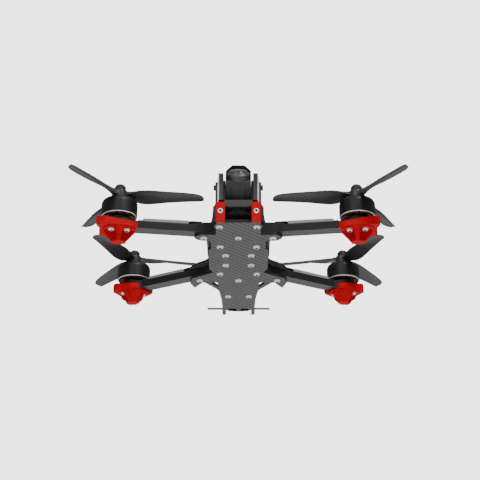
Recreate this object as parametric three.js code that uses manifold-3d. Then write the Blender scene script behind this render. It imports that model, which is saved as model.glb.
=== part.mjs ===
// A five-inch racing quadcopter: carbon frame, four motors with three-blade propellers, a tilting camera
// and the electronics between the plates. Millimetres, +Z up, nose towards -Y, the craft's left towards +X.
// Everything is drawn from the ground midway between the four motors, and the whole is then moved so that
// the origin is under the middle of its box.
import * as THREE from "three";
import { mergeVertices } from "three/addons/utils/BufferGeometryUtils.js";
import Module from "manifold-3d";

// Where the motors stand, and the sizes of what turns on them.
const FRONT_MOTOR_X = 89.25;
const REAR_MOTOR_X = 87.7;
const MOTOR_Y = 64.25;
const PROP_RADIUS = 63.5;
const BELL_RADIUS = 13.6;
const SHAFT_RADIUS = 2;
const SHAFT_GAP = 0.3;

// Heights above the ground of the flat layers, from the feet up.
const BOTTOM_PLATE_Z = 8;
const ARM_Z = 10.5;
const MID_PLATE_Z = 16.5;
const DECK_Z = 18.5;
const TOP_PLATE_Z = 41;
const TOP_FACE_Z = 43;
const GAP = 0.3;

// How far the box's middle is ahead of the motors', because the rear propellers stand at a turn.
const BOX_AHEAD = 1.51;

// Arms: where each leaves the body, and its width.
const FRONT_EAR = { x: 26.1, y: -54.6 };
const REAR_EAR = { x: 31.3, y: 32.1 };
const ARM_WIDTH = 10.6;
const ARM_PAD_HALF_WIDTH = 9.9;

// Bolts that hold the frame together: hole radius and places, one side only.
const BOLT_HOLE_RADIUS = 1.6;
const STACK_BOLTS = [[10, -20.75], [10, -0.75]];
const ROOT_BOLTS = [[13.9, -37.8], [14.7, 17.8]];
const EAR_BOLTS = [[FRONT_EAR.x, FRONT_EAR.y], [REAR_EAR.x, REAR_EAR.y]];
const NOSE_BOLT = [13.8, -75.4];
const TAIL_BOLT = [8.7, 68.3];
const CENTRE_BOLTS = [[0, -54.6], [0, 32.1]];
const MOTOR_BOLT_CIRCLE = 8;

const STANDOFF_RADIUS = 2.5;

// Slots in the top plate that the battery strap passes through, one side only.
const STRAP_SLOT = { inner: 15.6, outer: 18.2, front: -4, rear: 14 };

// Camera: its pivot, the tilt it is set to, and its half width.
const CAMERA_PIVOT = { y: -72.5, z: 41 };
const CAMERA_TILT = THREE.MathUtils.degToRad(50);
const CAMERA_HALF_WIDTH = 9.5;
const PIVOT_HOLE_RADIUS = 1.7;

// Nose cage: two outer plates, and the cradle that holds the camera between them.
const NOSE_Y = -83.2;
const CRADLE_INNER_X = 11.4;
const CAGE_INNER_X = 15.3;
const CAGE_OUTER_X = 17.3;

const manifold = await Module();
manifold.setup();

const finishes = {
  carbon: { color: 0x3a3b3d, roughness: 0.45, metalness: 0.1 },
  red_rubber: { color: 0xd40a0a, roughness: 0.6, metalness: 0 },
  black_metal: { color: 0x1c1c1e, roughness: 0.35, metalness: 0.8 },
  black_plastic: { color: 0x18181a, roughness: 0.55, metalness: 0 },
  grey_plastic: { color: 0x8d8f91, roughness: 0.5, metalness: 0 },
  propeller_plastic: { color: 0x34363a, roughness: 0.35, metalness: 0 },
  copper: { color: 0x8a4a22, roughness: 0.4, metalness: 0.7 },
  board: { color: 0x14281c, roughness: 0.5, metalness: 0.1 },
  glass: { color: 0x0a0c10, roughness: 0.08, metalness: 0.1 },
  connector_yellow: { color: 0xe0b020, roughness: 0.45, metalness: 0 },
  webbing: { color: 0x202022, roughness: 0.9, metalness: 0 },
};

const drone = new THREE.Group();

function add(name, geometry, finish, parent = drone) {
  const mesh = new THREE.Mesh(geometry, new THREE.MeshStandardMaterial(finishes[finish]));
  mesh.name = name;
  parent.add(mesh);
  return mesh;
}

// ---- Solids: booleans, slabs, turned shapes and lofts ----

function solidOf(geometry) {
  const bare = geometry.clone();
  bare.deleteAttribute("normal");
  bare.deleteAttribute("uv");
  const merged = mergeVertices(bare, 1e-4);
  return new manifold.Manifold(new manifold.Mesh({
    numProp: 3,
    vertProperties: merged.attributes.position.array,
    triVerts: new Uint32Array(merged.index.array),
  }));
}

function geometryOf(solid) {
  const mesh = solid.getMesh();
  const geometry = new THREE.BufferGeometry();
  geometry.setAttribute("position", new THREE.BufferAttribute(new Float32Array(mesh.vertProperties), 3));
  geometry.setIndex(new THREE.BufferAttribute(new Uint32Array(mesh.triVerts), 1));
  geometry.computeVertexNormals();
  return geometry;
}

function join(first, ...others) {
  return geometryOf(others.reduce((whole, next) => whole.add(solidOf(next)), solidOf(first)));
}

function cut(body, ...tools) {
  return geometryOf(tools.reduce((whole, next) => whole.subtract(solidOf(next)), solidOf(body)));
}

// A closed outline whose corners [x, y, radius] are rounded off.
function roundedShape(corners) {
  const shape = new THREE.Shape();
  corners.forEach(([x, y, radius = 0], i) => {
    const corner = new THREE.Vector2(x, y);
    const [beforeX, beforeY] = corners[(i + corners.length - 1) % corners.length];
    const [afterX, afterY] = corners[(i + 1) % corners.length];
    const before = new THREE.Vector2(beforeX, beforeY).sub(corner);
    const after = new THREE.Vector2(afterX, afterY).sub(corner);
    const reach = Math.min(radius, before.length() * 0.48, after.length() * 0.48);
    const from = corner.clone().add(before.setLength(reach));
    const to = corner.clone().add(after.setLength(reach));
    if (i === 0) shape.moveTo(from.x, from.y);
    else shape.lineTo(from.x, from.y);
    if (reach > 0) shape.quadraticCurveTo(x, y, to.x, to.y);
  });
  shape.closePath();
  return shape;
}

// The whole outline of a plate from the corners of its +X half, listed from nose to tail.
function mirroredCorners(half) {
  return [...half, ...[...half].reverse().map(([x, y, radius]) => [-x, y, radius])];
}

function bothSides(points) {
  return points.flatMap(([x, y]) => (x === 0 ? [[x, y]] : [[x, y], [-x, y]]));
}

// Round holes, drawn with few sides because they are small; the flats stand at the radius asked for.
const HOLE_SIDES = 6;

function drill(shape, points, radius) {
  for (const [x, y] of points) {
    const rim = Array.from({ length: HOLE_SIDES }, (_, i) => {
      const angle = (i * 2 * Math.PI) / HOLE_SIDES;
      const reach = radius / Math.cos(Math.PI / HOLE_SIDES);
      return new THREE.Vector2(x + reach * Math.cos(angle), y + reach * Math.sin(angle));
    });
    shape.holes.push(new THREE.Path(rim));
  }
  return shape;
}

function slab(shape, low, high, curveSegments = 2) {
  const depth = high - low;
  const geometry = new THREE.ExtrudeGeometry(shape, { depth, bevelEnabled: false, curveSegments });
  return geometry.translate(0, 0, low);
}

// Turns a shape drawn in X-Y and raised along Z so that it is drawn in X-Z and runs along Y.
const FACING_TAIL = new THREE.Matrix4().makeBasis(
  new THREE.Vector3(-1, 0, 0), new THREE.Vector3(0, 0, 1), new THREE.Vector3(0, 1, 0));

// A profile in the Y-Z plane given thickness along X.
function sidePlate(corners, inner, outer, holes = [], holeRadius = 0) {
  const geometry = slab(drill(roundedShape(corners), holes, holeRadius), inner, outer);
  return geometry.applyMatrix4(new THREE.Matrix4().makeBasis(
    new THREE.Vector3(0, 1, 0), new THREE.Vector3(0, 0, 1), new THREE.Vector3(1, 0, 0)));
}

function block(x, y, z) {
  const [low, high] = [new THREE.Vector3(x[0], y[0], z[0]), new THREE.Vector3(x[1], y[1], z[1])];
  const size = high.clone().sub(low);
  const middle = low.clone().add(high).multiplyScalar(0.5);
  return new THREE.BoxGeometry(size.x, size.y, size.z).translate(middle.x, middle.y, middle.z);
}

function rod(x, y, low, high, radius, sides = 12) {
  return new THREE.CylinderGeometry(radius, radius, high - low, sides)
    .rotateX(Math.PI / 2)
    .translate(x, y, (low + high) / 2);
}

// A shape turned about Z from [radius, height] points, closed on the axis or on itself.
function turned(points, sides) {
  return new THREE.LatheGeometry(points.map(([r, z]) => new THREE.Vector2(r, z)), sides).rotateX(Math.PI / 2);
}

const TURNED_OVER = [0, 1, -1];

// A closed skin through loops of points that all have the same count, with flat ends.
function loft(loops) {
  const count = loops[0].length;
  const positions = loops.flat().flatMap((p) => [p.x, p.y, p.z]);
  const index = [];
  for (let ring = 0; ring + 1 < loops.length; ring += 1) {
    for (let i = 0; i < count; i += 1) {
      const a = ring * count + i;
      const b = ring * count + ((i + 1) % count);
      index.push(a, b, a + count, b, b + count, a + count);
    }
  }
  const last = (loops.length - 1) * count;
  for (let i = 1; i + 1 < count; i += 1) {
    index.push(0, i + 1, i);
    index.push(last, last + i, last + i + 1);
  }
  const geometry = new THREE.BufferGeometry();
  geometry.setAttribute("position", new THREE.Float32BufferAttribute(positions, 3));
  geometry.setIndex(index);
  const volume = solidOf(geometry).volume();
  if (volume < 0) {
    geometry.setIndex(index.map((_, i) => index[i + TURNED_OVER[i % 3]]));
  }
  return geometry;
}

// The same opening on both sides of a plate, ready to be cut through it.
function throughCuts(corners, low, high) {
  const tool = slab(roundedShape(corners), low - 1, high + 1);
  return [tool, mirrored(tool)];
}

function mirrored(geometry) {
  const flat = geometry.index ? geometry.toNonIndexed() : geometry.clone();
  flat.applyMatrix4(new THREE.Matrix4().makeScale(-1, 1, 1));
  const position = flat.getAttribute("position");
  for (let i = 0; i < position.count; i += 3) {
    const [a, b] = [1, 2].map((k) => new THREE.Vector3().fromBufferAttribute(position, i + k));
    position.setXYZ(i + 1, b.x, b.y, b.z);
    position.setXYZ(i + 2, a.x, a.y, a.z);
  }
  return flat;
}

// ---- Frame plates ----

function bottomPlate() {
  const half = [
    [16.5, -82.7, 1], [16.5, -79], [17.9, -77.5, 1.5], [17.9, -73.3, 1.5], [16.9, -71.5],
    [16.9, -60.2, 1], [29.5, -60.2, 5], [34.2, -54.6, 4], [29.5, -48.4, 5], [21.5, -48.4, 1],
    [20.9, -46.5], [20.9, -33.5, 1], [23.2, -30.7, 1], [23.2, 8.2, 2], [20.1, 15.5, 1],
    [37.7, 28.5, 1], [39.5, 38.5, 1], [36, 49.9, 1], [29.1, 37.7, 1], [17, 37.5, 2],
    [16.4, 54.9], [14.4, 76.3], [13.9, 96.7], [14.1, 114, 0.6], [10.8, 114, 0.6], [10.8, 101.5, 1],
    [9.6, 103.8, 1], [3, 105.8, 3],
  ];
  const bolts = [...STACK_BOLTS, ...ROOT_BOLTS, ...EAR_BOLTS, NOSE_BOLT, TAIL_BOLT, ...CENTRE_BOLTS];
  const shape = drill(roundedShape(mirroredCorners(half)), bothSides(bolts), BOLT_HOLE_RADIUS);
  const tieSlots = throughCuts([[2, 98.6], [8.4, 98.6], [8.4, 102.4], [2, 104]], BOTTOM_PLATE_Z, ARM_Z);
  return cut(slab(shape, BOTTOM_PLATE_Z, ARM_Z), ...tieSlots);
}

// The plate that clamps the arms from above; a strut runs from each rear ear to the tail.
function midPlate() {
  const half = [
    [15, -79.2, 1], [15, -60, 1], [28, -59.8, 4], [36.6, -58, 5], [36.6, -51, 5], [29, -47.6, 4],
    [23.4, -44, 2], [23.8, 4, 2], [24.5, 12, 3], [34, 20.5, 3], [40.5, 31, 3], [39.5, 41, 2], [36.5, 49.5, 2],
    [27, 61, 2], [17.5, 76, 2], [14, 87, 2],
  ];
  const bolts = [...STACK_BOLTS, ...ROOT_BOLTS, ...EAR_BOLTS, ...CENTRE_BOLTS];
  const shape = drill(roundedShape(mirroredCorners(half)), bothSides(bolts), BOLT_HOLE_RADIUS);
  drill(shape, bothSides([TAIL_BOLT]), STANDOFF_RADIUS + GAP);
  const windowCorners = [[16, 44, 1.5], [29.5, 47.5, 1.5], [24.5, 57, 1.5], [15.5, 70.5, 1.5]];
  const windows = throughCuts(windowCorners, MID_PLATE_Z, DECK_Z);
  return cut(slab(shape, MID_PLATE_Z, DECK_Z), ...windows);
}

function topPlate() {
  const half = [
    [8, -57, 2], [14.9, -52, 2], [14.9, -44, 1], [18.4, -40, 2], [19.4, -20, 3], [19.4, 22, 3], [17, 40, 4],
    [13, 62, 3], [12.6, 74.5, 3],
  ];
  const bolts = [...ROOT_BOLTS, TAIL_BOLT];
  const shape = drill(roundedShape(mirroredCorners(half)), bothSides(bolts), BOLT_HOLE_RADIUS);
  shape.holes.push(roundedShape([[-6, -42, 2], [6, -42, 2], [6, -30, 2], [-6, -30, 2]]));
  shape.holes.push(roundedShape([[-5.5, 40, 2], [5.5, 40, 2], [4.5, 54, 2], [-4.5, 54, 2]]));
  const { inner, outer, front, rear } = STRAP_SLOT;
  const slotCorners = [[inner, front], [outer, front], [outer, rear], [inner, rear]];
  const slots = throughCuts(slotCorners, TOP_PLATE_Z, TOP_FACE_Z);
  return cut(slab(shape, TOP_PLATE_Z, TOP_FACE_Z), ...slots);
}

add("bottom_plate", bottomPlate(), "carbon");
add("mid_plate", midPlate(), "carbon");
add("top_plate", topPlate(), "carbon");

// Columns up to the top plate: the tail pair passes through the mid plate, the others stand on it.
function standoff(x, y, low) {
  return cut(
    rod(x, y, low, TOP_PLATE_Z, STANDOFF_RADIUS, 10),
    rod(x, y, low - 1, low + 6, 1.2, HOLE_SIDES),
    rod(x, y, TOP_PLATE_Z - 6, TOP_PLATE_Z + 1, 1.2, HOLE_SIDES));
}

const standoffs = [
  ["front", ROOT_BOLTS[0], DECK_Z],
  ["middle", ROOT_BOLTS[1], DECK_Z],
  ["tail", TAIL_BOLT, ARM_Z],
];
for (const [place, [x, y], low] of standoffs) {
  add(`standoff_${place}_left`, standoff(x, y, low), "black_metal");
  add(`standoff_${place}_right`, standoff(-x, y, low), "black_metal");
}

// ---- Arms, and what each carries. Every corner is built on the +X side and mirrored for the other. ----

// One arm: root between the plates, straight bar, and the pad under the motor.
function arm(ear, root, bolts, motor) {
  const along = new THREE.Vector2(motor.x - ear.x, motor.y - ear.y).normalize();
  const across = new THREE.Vector2(-along.y, along.x).multiplyScalar(ARM_WIDTH / 2);
  const barStart = new THREE.Vector2(ear.x, ear.y).addScaledVector(along, 2.5);
  const barEnd = motor.clone().addScaledVector(along, -6);
  const bar = [
    barStart.clone().add(across),
    barEnd.clone().add(across),
    barEnd.clone().sub(across),
    barStart.clone().sub(across),
  ].map((p) => [p.x, p.y]);
  const pad = slab(motorPadShape(0), ARM_Z, MID_PLATE_Z)
    .rotateZ(along.angle())
    .translate(motor.x, motor.y, 0);
  const whole = join(
    slab(roundedShape(root), ARM_Z, MID_PLATE_Z), slab(roundedShape(bar), ARM_Z, MID_PLATE_Z), pad);
  const holes = bolts.map(([x, y]) => rod(x, y, ARM_Z - 1, MID_PLATE_Z + 1, BOLT_HOLE_RADIUS, HOLE_SIDES));
  return { geometry: cut(whole, ...holes), angle: along.angle() };
}

// Outline of the pad under a motor, in the arm's own axes, grown all round by extra.
function motorPadShape(extra) {
  const side = ARM_PAD_HALF_WIDTH + extra;
  const end = 11.3 + extra;
  const back = -11 - extra;
  const shape = roundedShape([
    [back, -6 - extra], [-6, -side, 4], [end - 3, -side, 3], [end, -side + 3, 3],
    [end, side - 3, 3], [end - 3, side, 3], [-6, side, 4], [back, 6 + extra],
  ]);
  if (extra === 0) drill(shape, motorBolts(), BOLT_HOLE_RADIUS);
  return shape;
}

function motorBolts() {
  const reach = MOTOR_BOLT_CIRCLE / Math.SQRT2;
  return bothSides([[reach, reach], [reach, -reach]]);
}

const frontRoot = [
  [0.3, -59.6], [29, -59.9], [36.5, -61.3], [38.2, -51.2], [28, -48.2, 3], [19.5, -42, 3],
  [19.5, -33], [8.5, -33], [8.5, -44], [0.3, -48],
];
const rearRoot = [
  [0.3, 38], [0.3, 26], [9, 22], [10, 11], [19.8, 11], [28, 23.5], [40.5, 30.8], [35.6, 40.6], [27, 38],
];

// Guard under a motor, in the arm's axes with the motor's centre at the origin: a band round the pad
// that is highest at the tip, a floor under it, and a foot of four ribs that meet in a flat pad on the
// ground. The band's longer corner is on the side given by outward, -1 or +1 along the arm's Y.
const GUARD = { floorLow: 8.4, bandLow: 9.3, floorHigh: 10.2, sideTop: 13.6, top: 16 };

function motorGuard(outward) {
  const { floorLow, bandLow, floorHigh, sideTop, top } = GUARD;
  const turnedOutward = (points) => roundedShape(points.map(([x, y, radius]) => [x, outward * y, radius]));
  const band = slab(turnedOutward([
    [-14, 8.8, 1.5], [-8.5, 12, 3], [11.5, 12, 1.5], [17.4, 10.4, 1], [16.8, 7, 1.5], [13.5, 2.6, 2],
    [13.5, -9.6, 1.5], [9.5, -12.6, 2], [-6, -12.2, 3], [-10, -8.4, 1.5],
  ]), bandLow, top);
  const cavity = slab(motorPadShape(GAP), floorHigh, top + 1);
  const barWay = block([-20, 0], [-ARM_WIDTH / 2 - 0.6, ARM_WIDTH / 2 + 0.6], [floorHigh, top + 1]);
  const aboveSides = slab(new THREE.Shape([
    [-20, sideTop], [3, sideTop], [11, top], [11, top + 1], [-20, top + 1],
  ].map(([x, z]) => new THREE.Vector2(x, z))), -20, 20).rotateX(Math.PI / 2);
  const floor = slab(turnedOutward([
    [-9, -8], [-5, -11, 3], [8.5, -11, 3], [12.4, -5.5, 2],
    [12.4, 5.5, 2], [8.5, 11, 3], [-7, 11, 3], [-12, 7],
  ]), floorLow, bandLow + 0.2);
  const screwWells = motorBolts().map(([x, y]) => rod(x, y, 0, floorHigh + 1, 3, HOLE_SIDES));
  const shell = cut(join(band, floor), cavity, barWay, aboveSides, ...screwWells);
  return join(shell, guardFoot(floorLow + 0.8));
}

function guardFoot(high) {
  const rib = (angle, profile) =>
    slab(roundedShape([[0, 0], ...profile, [0, high]]), -1.7, 1.7).rotateX(Math.PI / 2).rotateZ(angle);
  const tipRib = rib(0, [[5, 0], [12.6, high]]);
  const backRib = rib(Math.PI, [[5, 0], [11.4, high]]);
  const sideProfile = [[4.4, 0], [10.6, 5.6, 2], [11.8, high]];
  const pad = slab(roundedShape([
    [-5.4, -2.2], [0, -4.6], [5.4, -2.2], [5.4, 2.2], [0, 4.6], [-5.4, 2.2],
  ]), 0, 1.6);
  const core = turned([[0, 0], [3.4, 0], [4.2, high], [0, high]], 8);
  return join(core, pad, tipRib, backRib, rib(Math.PI / 2, sideProfile), rib(-Math.PI / 2, sideProfile));
}

// Stator: base plate bolted to the arm, bearing tube and the wound stack.
const TEETH = 12;
const MOTOR = { base: MID_PLATE_Z, stackLow: 21, stackHigh: 30.4, bellLow: 20, bellHigh: 34 };

function motorStator() {
  const { base, stackLow, stackHigh } = MOTOR;
  const bore = SHAFT_RADIUS + SHAFT_GAP;
  const tube = turned([[bore, base], [9.8, base], [9.8, base + 1.4], [8.8, base + 2.4], [5, base + 2.8],
    [4.6, stackLow], [4.6, stackHigh + 0.8], [bore, stackHigh + 0.8], [bore, base]], 12);
  const rim = [];
  for (let tooth = 0; tooth < TEETH; tooth += 1) {
    const middle = (tooth * 2 * Math.PI) / TEETH;
    const edge = (0.38 * 2 * Math.PI) / TEETH;
    for (const [radius, angle] of [[7, middle - edge * 1.3], [11.8, middle - edge], [11.8, middle + edge]]) {
      rim.push(new THREE.Vector2(radius * Math.cos(angle), radius * Math.sin(angle)));
    }
  }
  const stack = drill(new THREE.Shape(rim), [[0, 0]], bore + 0.8);
  return join(tube, slab(stack, stackLow, stackHigh));
}

// Bell: the turning cup with its shaft, which the propeller and nut go on.
function motorBell() {
  const { base, bellLow, bellHigh } = MOTOR;
  const cup = turned([
    [0, base + 0.6], [SHAFT_RADIUS, base + 0.6], [SHAFT_RADIUS, 31.9], [12.5, 31.9], [12.5, bellLow],
    [BELL_RADIUS, bellLow], [BELL_RADIUS, bellHigh - 3.2], [BELL_RADIUS - 1.2, bellHigh - 1.1],
    [BELL_RADIUS - 3.6, bellHigh], [6, bellHigh], [6, bellHigh + 0.6], [2.45, bellHigh + 0.6],
    [2.45, 47.2], [0, 47.2],
  ], 18);
  const windows = [];
  for (let i = 0; i < 6; i += 1) {
    const window = roundedShape([[6.6, -1.6], [10, -3.4], [10, 3.4], [6.6, 1.6]]);
    windows.push(slab(window, 31, bellHigh + 2).rotateZ((i * Math.PI) / 3));
  }
  return cut(cup, ...windows);
}

// Blade sections from root to tip: r from the axis, chord, how far the leading edge is ahead of the
// radial line, pitch in degrees, thickness and how far the blade has drooped.
const BLADE_SECTIONS = [
  { r: 4, chord: 6.4, lead: 3.2, pitch: 30, thick: 4.2 },
  { r: 9, chord: 7.2, lead: 3.4, pitch: 32, thick: 3 },
  { r: 15, chord: 10.8, lead: 4.6, pitch: 33, thick: 2.1 },
  { r: 23, chord: 12.4, lead: 5.4, pitch: 30, thick: 1.7, droop: 0.2 },
  { r: 34, chord: 11.8, lead: 5.6, pitch: 25, thick: 1.4, droop: 0.6 },
  { r: 47, chord: 10.6, lead: 5.5, pitch: 20.5, thick: 1.2, droop: 1.1 },
  { r: 57, chord: 9.1, lead: 4.7, pitch: 18, thick: 1, droop: 1.5 },
  { r: 61.5, chord: 6.8, lead: 2.6, pitch: 17, thick: 0.9, droop: 1.6 },
  { r: PROP_RADIUS, chord: 3.3, lead: -0.3, pitch: 17, thick: 0.8, droop: 1.6 },
];
const PROP_HUB = { low: MOTOR.bellHigh + 0.6, high: 41.6, radius: 6.2, bore: 2.75 };
const BLADE_Z = 38.4;

// Three-blade propeller. spin is +1 when it turns anticlockwise from above, -1 when clockwise; at rest
// one blade points along restAngle.
function propeller(spin, restAngle) {
  const { low, high, radius, bore } = PROP_HUB;
  const outline = [[0, 0], [0.15, 0.7], [0.5, 1], [1, 0.12], [1, -0.1], [0.45, -0.1]];
  const loops = BLADE_SECTIONS.map(({ r, chord, lead, pitch, thick, droop = 0 }) => {
    const tilt = THREE.MathUtils.degToRad(pitch);
    return outline.map(([part, lift]) => {
      const ahead = lead - part * chord;
      const above = (lift - 0.3) * thick * 0.8 + Math.sin(Math.PI * part) * chord * 0.05;
      const y = ahead * Math.cos(tilt) - above * Math.sin(tilt);
      const z = ahead * Math.sin(tilt) + above * Math.cos(tilt);
      return new THREE.Vector3(r, spin * y, BLADE_Z + z - droop);
    });
  });
  const blade = loft(loops);
  const hub = turned([[0, low], [radius - 0.6, low], [radius, low + 0.8], [radius, high - 0.8],
    [radius - 0.8, high], [0, high]], 16);
  const blades = [0, 1, 2].map((i) => blade.clone().rotateZ(restAngle + (i * 2 * Math.PI) / 3));
  return cut(join(hub, ...blades), rod(0, 0, low - 1, high + 1, bore, 12));
}

// Flanged locking nut on the shaft's end.
function propNut() {
  const low = PROP_HUB.high + 0.1;
  const outer = join(
    rod(0, 0, low, low + 1.2, 4.8, 12),
    rod(0, 0, low + 1, low + 3.8, 4.4, 6),
    rod(0, 0, low + 3.6, low + 4.9, 3.6, 10));
  return cut(outer, rod(0, 0, low - 1, low + 8, 2.75, 10));
}

// Cover over a motor's three wires on top of an arm, with the flat bundle showing at both ends.
const WIRE_COVER = { length: 34.6, width: 8, height: 3 };

function wireCover(outerEnd) {
  const { length, width, height } = WIRE_COVER;
  const low = MID_PLATE_Z + GAP;
  const cover = slab(roundedShape([
    [outerEnd - length, -width / 2, 1.2], [outerEnd, -width / 2 + 0.8, 1.6],
    [outerEnd, width / 2 - 0.8, 1.6], [outerEnd - length, width / 2, 1.2],
  ]), low, low + height);
  const toMotor = block([outerEnd - 2, outerEnd + 3.6], [-2.7, 2.7], [low + 0.2, low + 1.8]);
  const toBody = block([outerEnd - length - 10, outerEnd - length + 2], [-2.7, 2.7],
    [DECK_Z + GAP, low + height + 0.2]);
  return join(cover, toMotor, toBody);
}

const corners = [
  {
    end: "front", row: 0, motor: new THREE.Vector2(FRONT_MOTOR_X, -MOTOR_Y), ear: FRONT_EAR, root: frontRoot,
    outward: -1, spin: 1, restAngle: 180, coverEnd: -17.8,
  },
  {
    end: "rear", row: 1, motor: new THREE.Vector2(REAR_MOTOR_X, MOTOR_Y), ear: REAR_EAR, root: rearRoot,
    outward: 1, spin: -1, restAngle: 174.5, coverEnd: -16,
  },
];

for (const { end, row, motor, ear, root, outward, spin, restAngle, coverEnd } of corners) {
  const bolts = [EAR_BOLTS[row], ROOT_BOLTS[row], CENTRE_BOLTS[row]];
  const { geometry: armGeometry, angle } = arm(ear, root, bolts, motor);
  const guard = motorGuard(outward);
  const stator = motorStator();
  const bell = motorBell();
  const blades = propeller(spin, THREE.MathUtils.degToRad(restAngle));
  const nut = propNut();
  const cover = wireCover(coverEnd);
  for (const [side, mirror] of [["left", 1], ["right", -1]]) {
    const half = new THREE.Group();
    half.scale.x = mirror;
    drone.add(half);
    add(`arm_${end}_${side}`, armGeometry, "carbon", half);
    const station = new THREE.Group();
    station.position.set(motor.x, motor.y, 0);
    half.add(station);
    const aligned = new THREE.Group();
    aligned.rotation.z = angle;
    station.add(aligned);
    add(`motor_guard_${end}_${side}`, guard, "red_rubber", aligned);
    add(`wire_cover_${end}_${side}`, cover, "grey_plastic", aligned);
    add(`motor_stator_${end}_${side}`, stator, "copper", aligned);
    add(`motor_bell_${end}_${side}`, bell, "black_metal", station);
    add(`propeller_${end}_${side}`, blades, "propeller_plastic", station);
    add(`prop_nut_${end}_${side}`, nut, "black_metal", station);
  }
}

// ---- Nose: cage plates, cradle, bumpers and the camera ----

// Front edge shared by the cage plates and the cradle: upright, then leaning forwards over the lens.
const NOSE_EDGE = [[NOSE_Y, 38.6], [NOSE_Y - 3.8, 45.4, 0.8], [NOSE_Y - 2.6, 47, 0.8]];
const PIVOT_HOLE = [[CAMERA_PIVOT.y, CAMERA_PIVOT.z]];

// Above the pivot's height the outer face slants in towards the top.
function cagePlate() {
  const corners = [
    [NOSE_Y, ARM_Z], ...NOSE_EDGE, [-69, 47, 2], [-62, 43.6, 2], [-45.5, 43.6, 1], [-45.5, 37, 2],
    [-55.5, 30, 3], [-55.5, DECK_Z + GAP], [-61, DECK_Z + GAP], [-61, ARM_Z],
  ];
  const plate = sidePlate(corners, CAGE_INNER_X, CAGE_OUTER_X, PIVOT_HOLE, PIVOT_HOLE_RADIUS);
  const slant = new THREE.Shape([[CAGE_OUTER_X, 43.4], [CAGE_OUTER_X + 2, 43.4], [CAGE_OUTER_X + 2, 48],
    [CAGE_INNER_X + 0.4, 48]].map(([x, z]) => new THREE.Vector2(x, z)));
  return cut(plate, slab(slant, 50, 100).rotateX(Math.PI / 2));
}

// Two side walls joined by a cross bar under the camera, with feet that take the bumper screws.
function cradle() {
  const outer = CAGE_INNER_X - GAP;
  const wallCorners = [
    [NOSE_Y, DECK_Z], ...NOSE_EDGE, [-70, 47, 2], [-60, 38, 2], [-60, DECK_Z],
  ];
  const wall = sidePlate(wallCorners, CRADLE_INNER_X, outer, PIVOT_HOLE, PIVOT_HOLE_RADIUS);
  const foot = block([10, outer], [NOSE_Y, -79.5], [ARM_Z, 26.2]);
  const bar = block([-outer, outer], [NOSE_Y, -76], [20.6, 26.2]);
  return join(wall, mirrored(wall), foot, mirrored(foot), bar);
}

const BUMPER = { inner: 9.7, outer: 16.7, front: -86.4, low: 7.6, high: 23.3, screw: [13.2, 15.7] };

function noseBumper() {
  const { inner, outer, front, low, high, screw } = BUMPER;
  const body = block([inner, outer], [front, NOSE_Y - GAP], [low, high]);
  const hole = rod(0, 0, -4, 4, 1.7, 8).rotateX(Math.PI / 2).translate(screw[0], front + 1.5, screw[1]);
  return cut(body, hole);
}

add("camera_cradle", cradle(), "black_plastic");
const cage = cagePlate();
const bumper = noseBumper();
for (const [side, mirror] of [["left", 1], ["right", -1]]) {
  const half = new THREE.Group();
  half.scale.x = mirror;
  drone.add(half);
  add(`cage_plate_${side}`, cage, "black_metal", half);
  add(`nose_bumper_${side}`, bumper, "red_rubber", half);
}

// The camera in its own axes: it looks along -Y, the pivot is at the origin.
const CAMERA = { rear: 10, front: -6, half: 9.5, roofFront: -15, barrelRadius: 7.9, barrelFront: -13.2 };

function cameraBody() {
  const { rear, front, half, roofFront, barrelRadius } = CAMERA;
  const width = CAMERA_HALF_WIDTH;
  const sideCorners = [[front, -half, 1.5], [rear, -half, 1.5], [rear, half, 1.5], [front, half]];
  const shell = sidePlate(sideCorners, -width, width);
  const roof = slab(roundedShape([
    [-width, front + 1], [-width, -11, 1], [-6, roofFront, 2], [6, roofFront, 2], [width, -11, 1],
    [width, front + 1],
  ]), 7.6, half);
  const cheek = block([8.1, width], [-10.6, front + 1], [-1, half - 1]);
  const lensSeat = rod(0, 0, front - 1, front + 3.2, barrelRadius + GAP, 20).rotateX(-Math.PI / 2);
  return cut(join(shell, roof, cheek, mirrored(cheek)), lensSeat);
}

// Lens barrel with a domed front glass, seated in the body.
function cameraLens() {
  const { front, barrelRadius, barrelFront } = CAMERA;
  const seatDepth = front + 2.9;
  const profile = [
    [0, -seatDepth], [barrelRadius, -seatDepth], [barrelRadius, -front], [barrelRadius - 0.5, 8],
    [barrelRadius - 0.5, -barrelFront - 1.2], [barrelRadius - 1.1, -barrelFront], [5.6, -barrelFront],
    [4, -barrelFront + 0.7], [0, -barrelFront + 1.1],
  ];
  return turned(profile, 20).rotateX(Math.PI / 2);
}

// Screw and washer that a side of the camera turns on.
function tiltScrew() {
  const inner = CAMERA_HALF_WIDTH + GAP;
  const profile = [
    [0, inner], [1.3, inner], [1.3, CAGE_OUTER_X + GAP], [2.2, CAGE_OUTER_X + GAP],
    [2.2, CAGE_OUTER_X + 1.6], [1.6, CAGE_OUTER_X + 2.1], [0, CAGE_OUTER_X + 2.1],
  ];
  return turned(profile, 12).rotateY(Math.PI / 2);
}

const camera = new THREE.Group();
camera.position.set(0, CAMERA_PIVOT.y, CAMERA_PIVOT.z);
camera.rotation.x = -CAMERA_TILT;
drone.add(camera);
add("camera_body", cameraBody(), "black_plastic", camera);
add("camera_lens", cameraLens(), "glass", camera);
add("camera_screw_left", tiltScrew(), "black_metal", camera);
add("camera_screw_right", mirrored(tiltScrew()), "black_metal", camera);

// ---- Side panels: thin covers that lean in from the deck to the top plate ----

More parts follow.
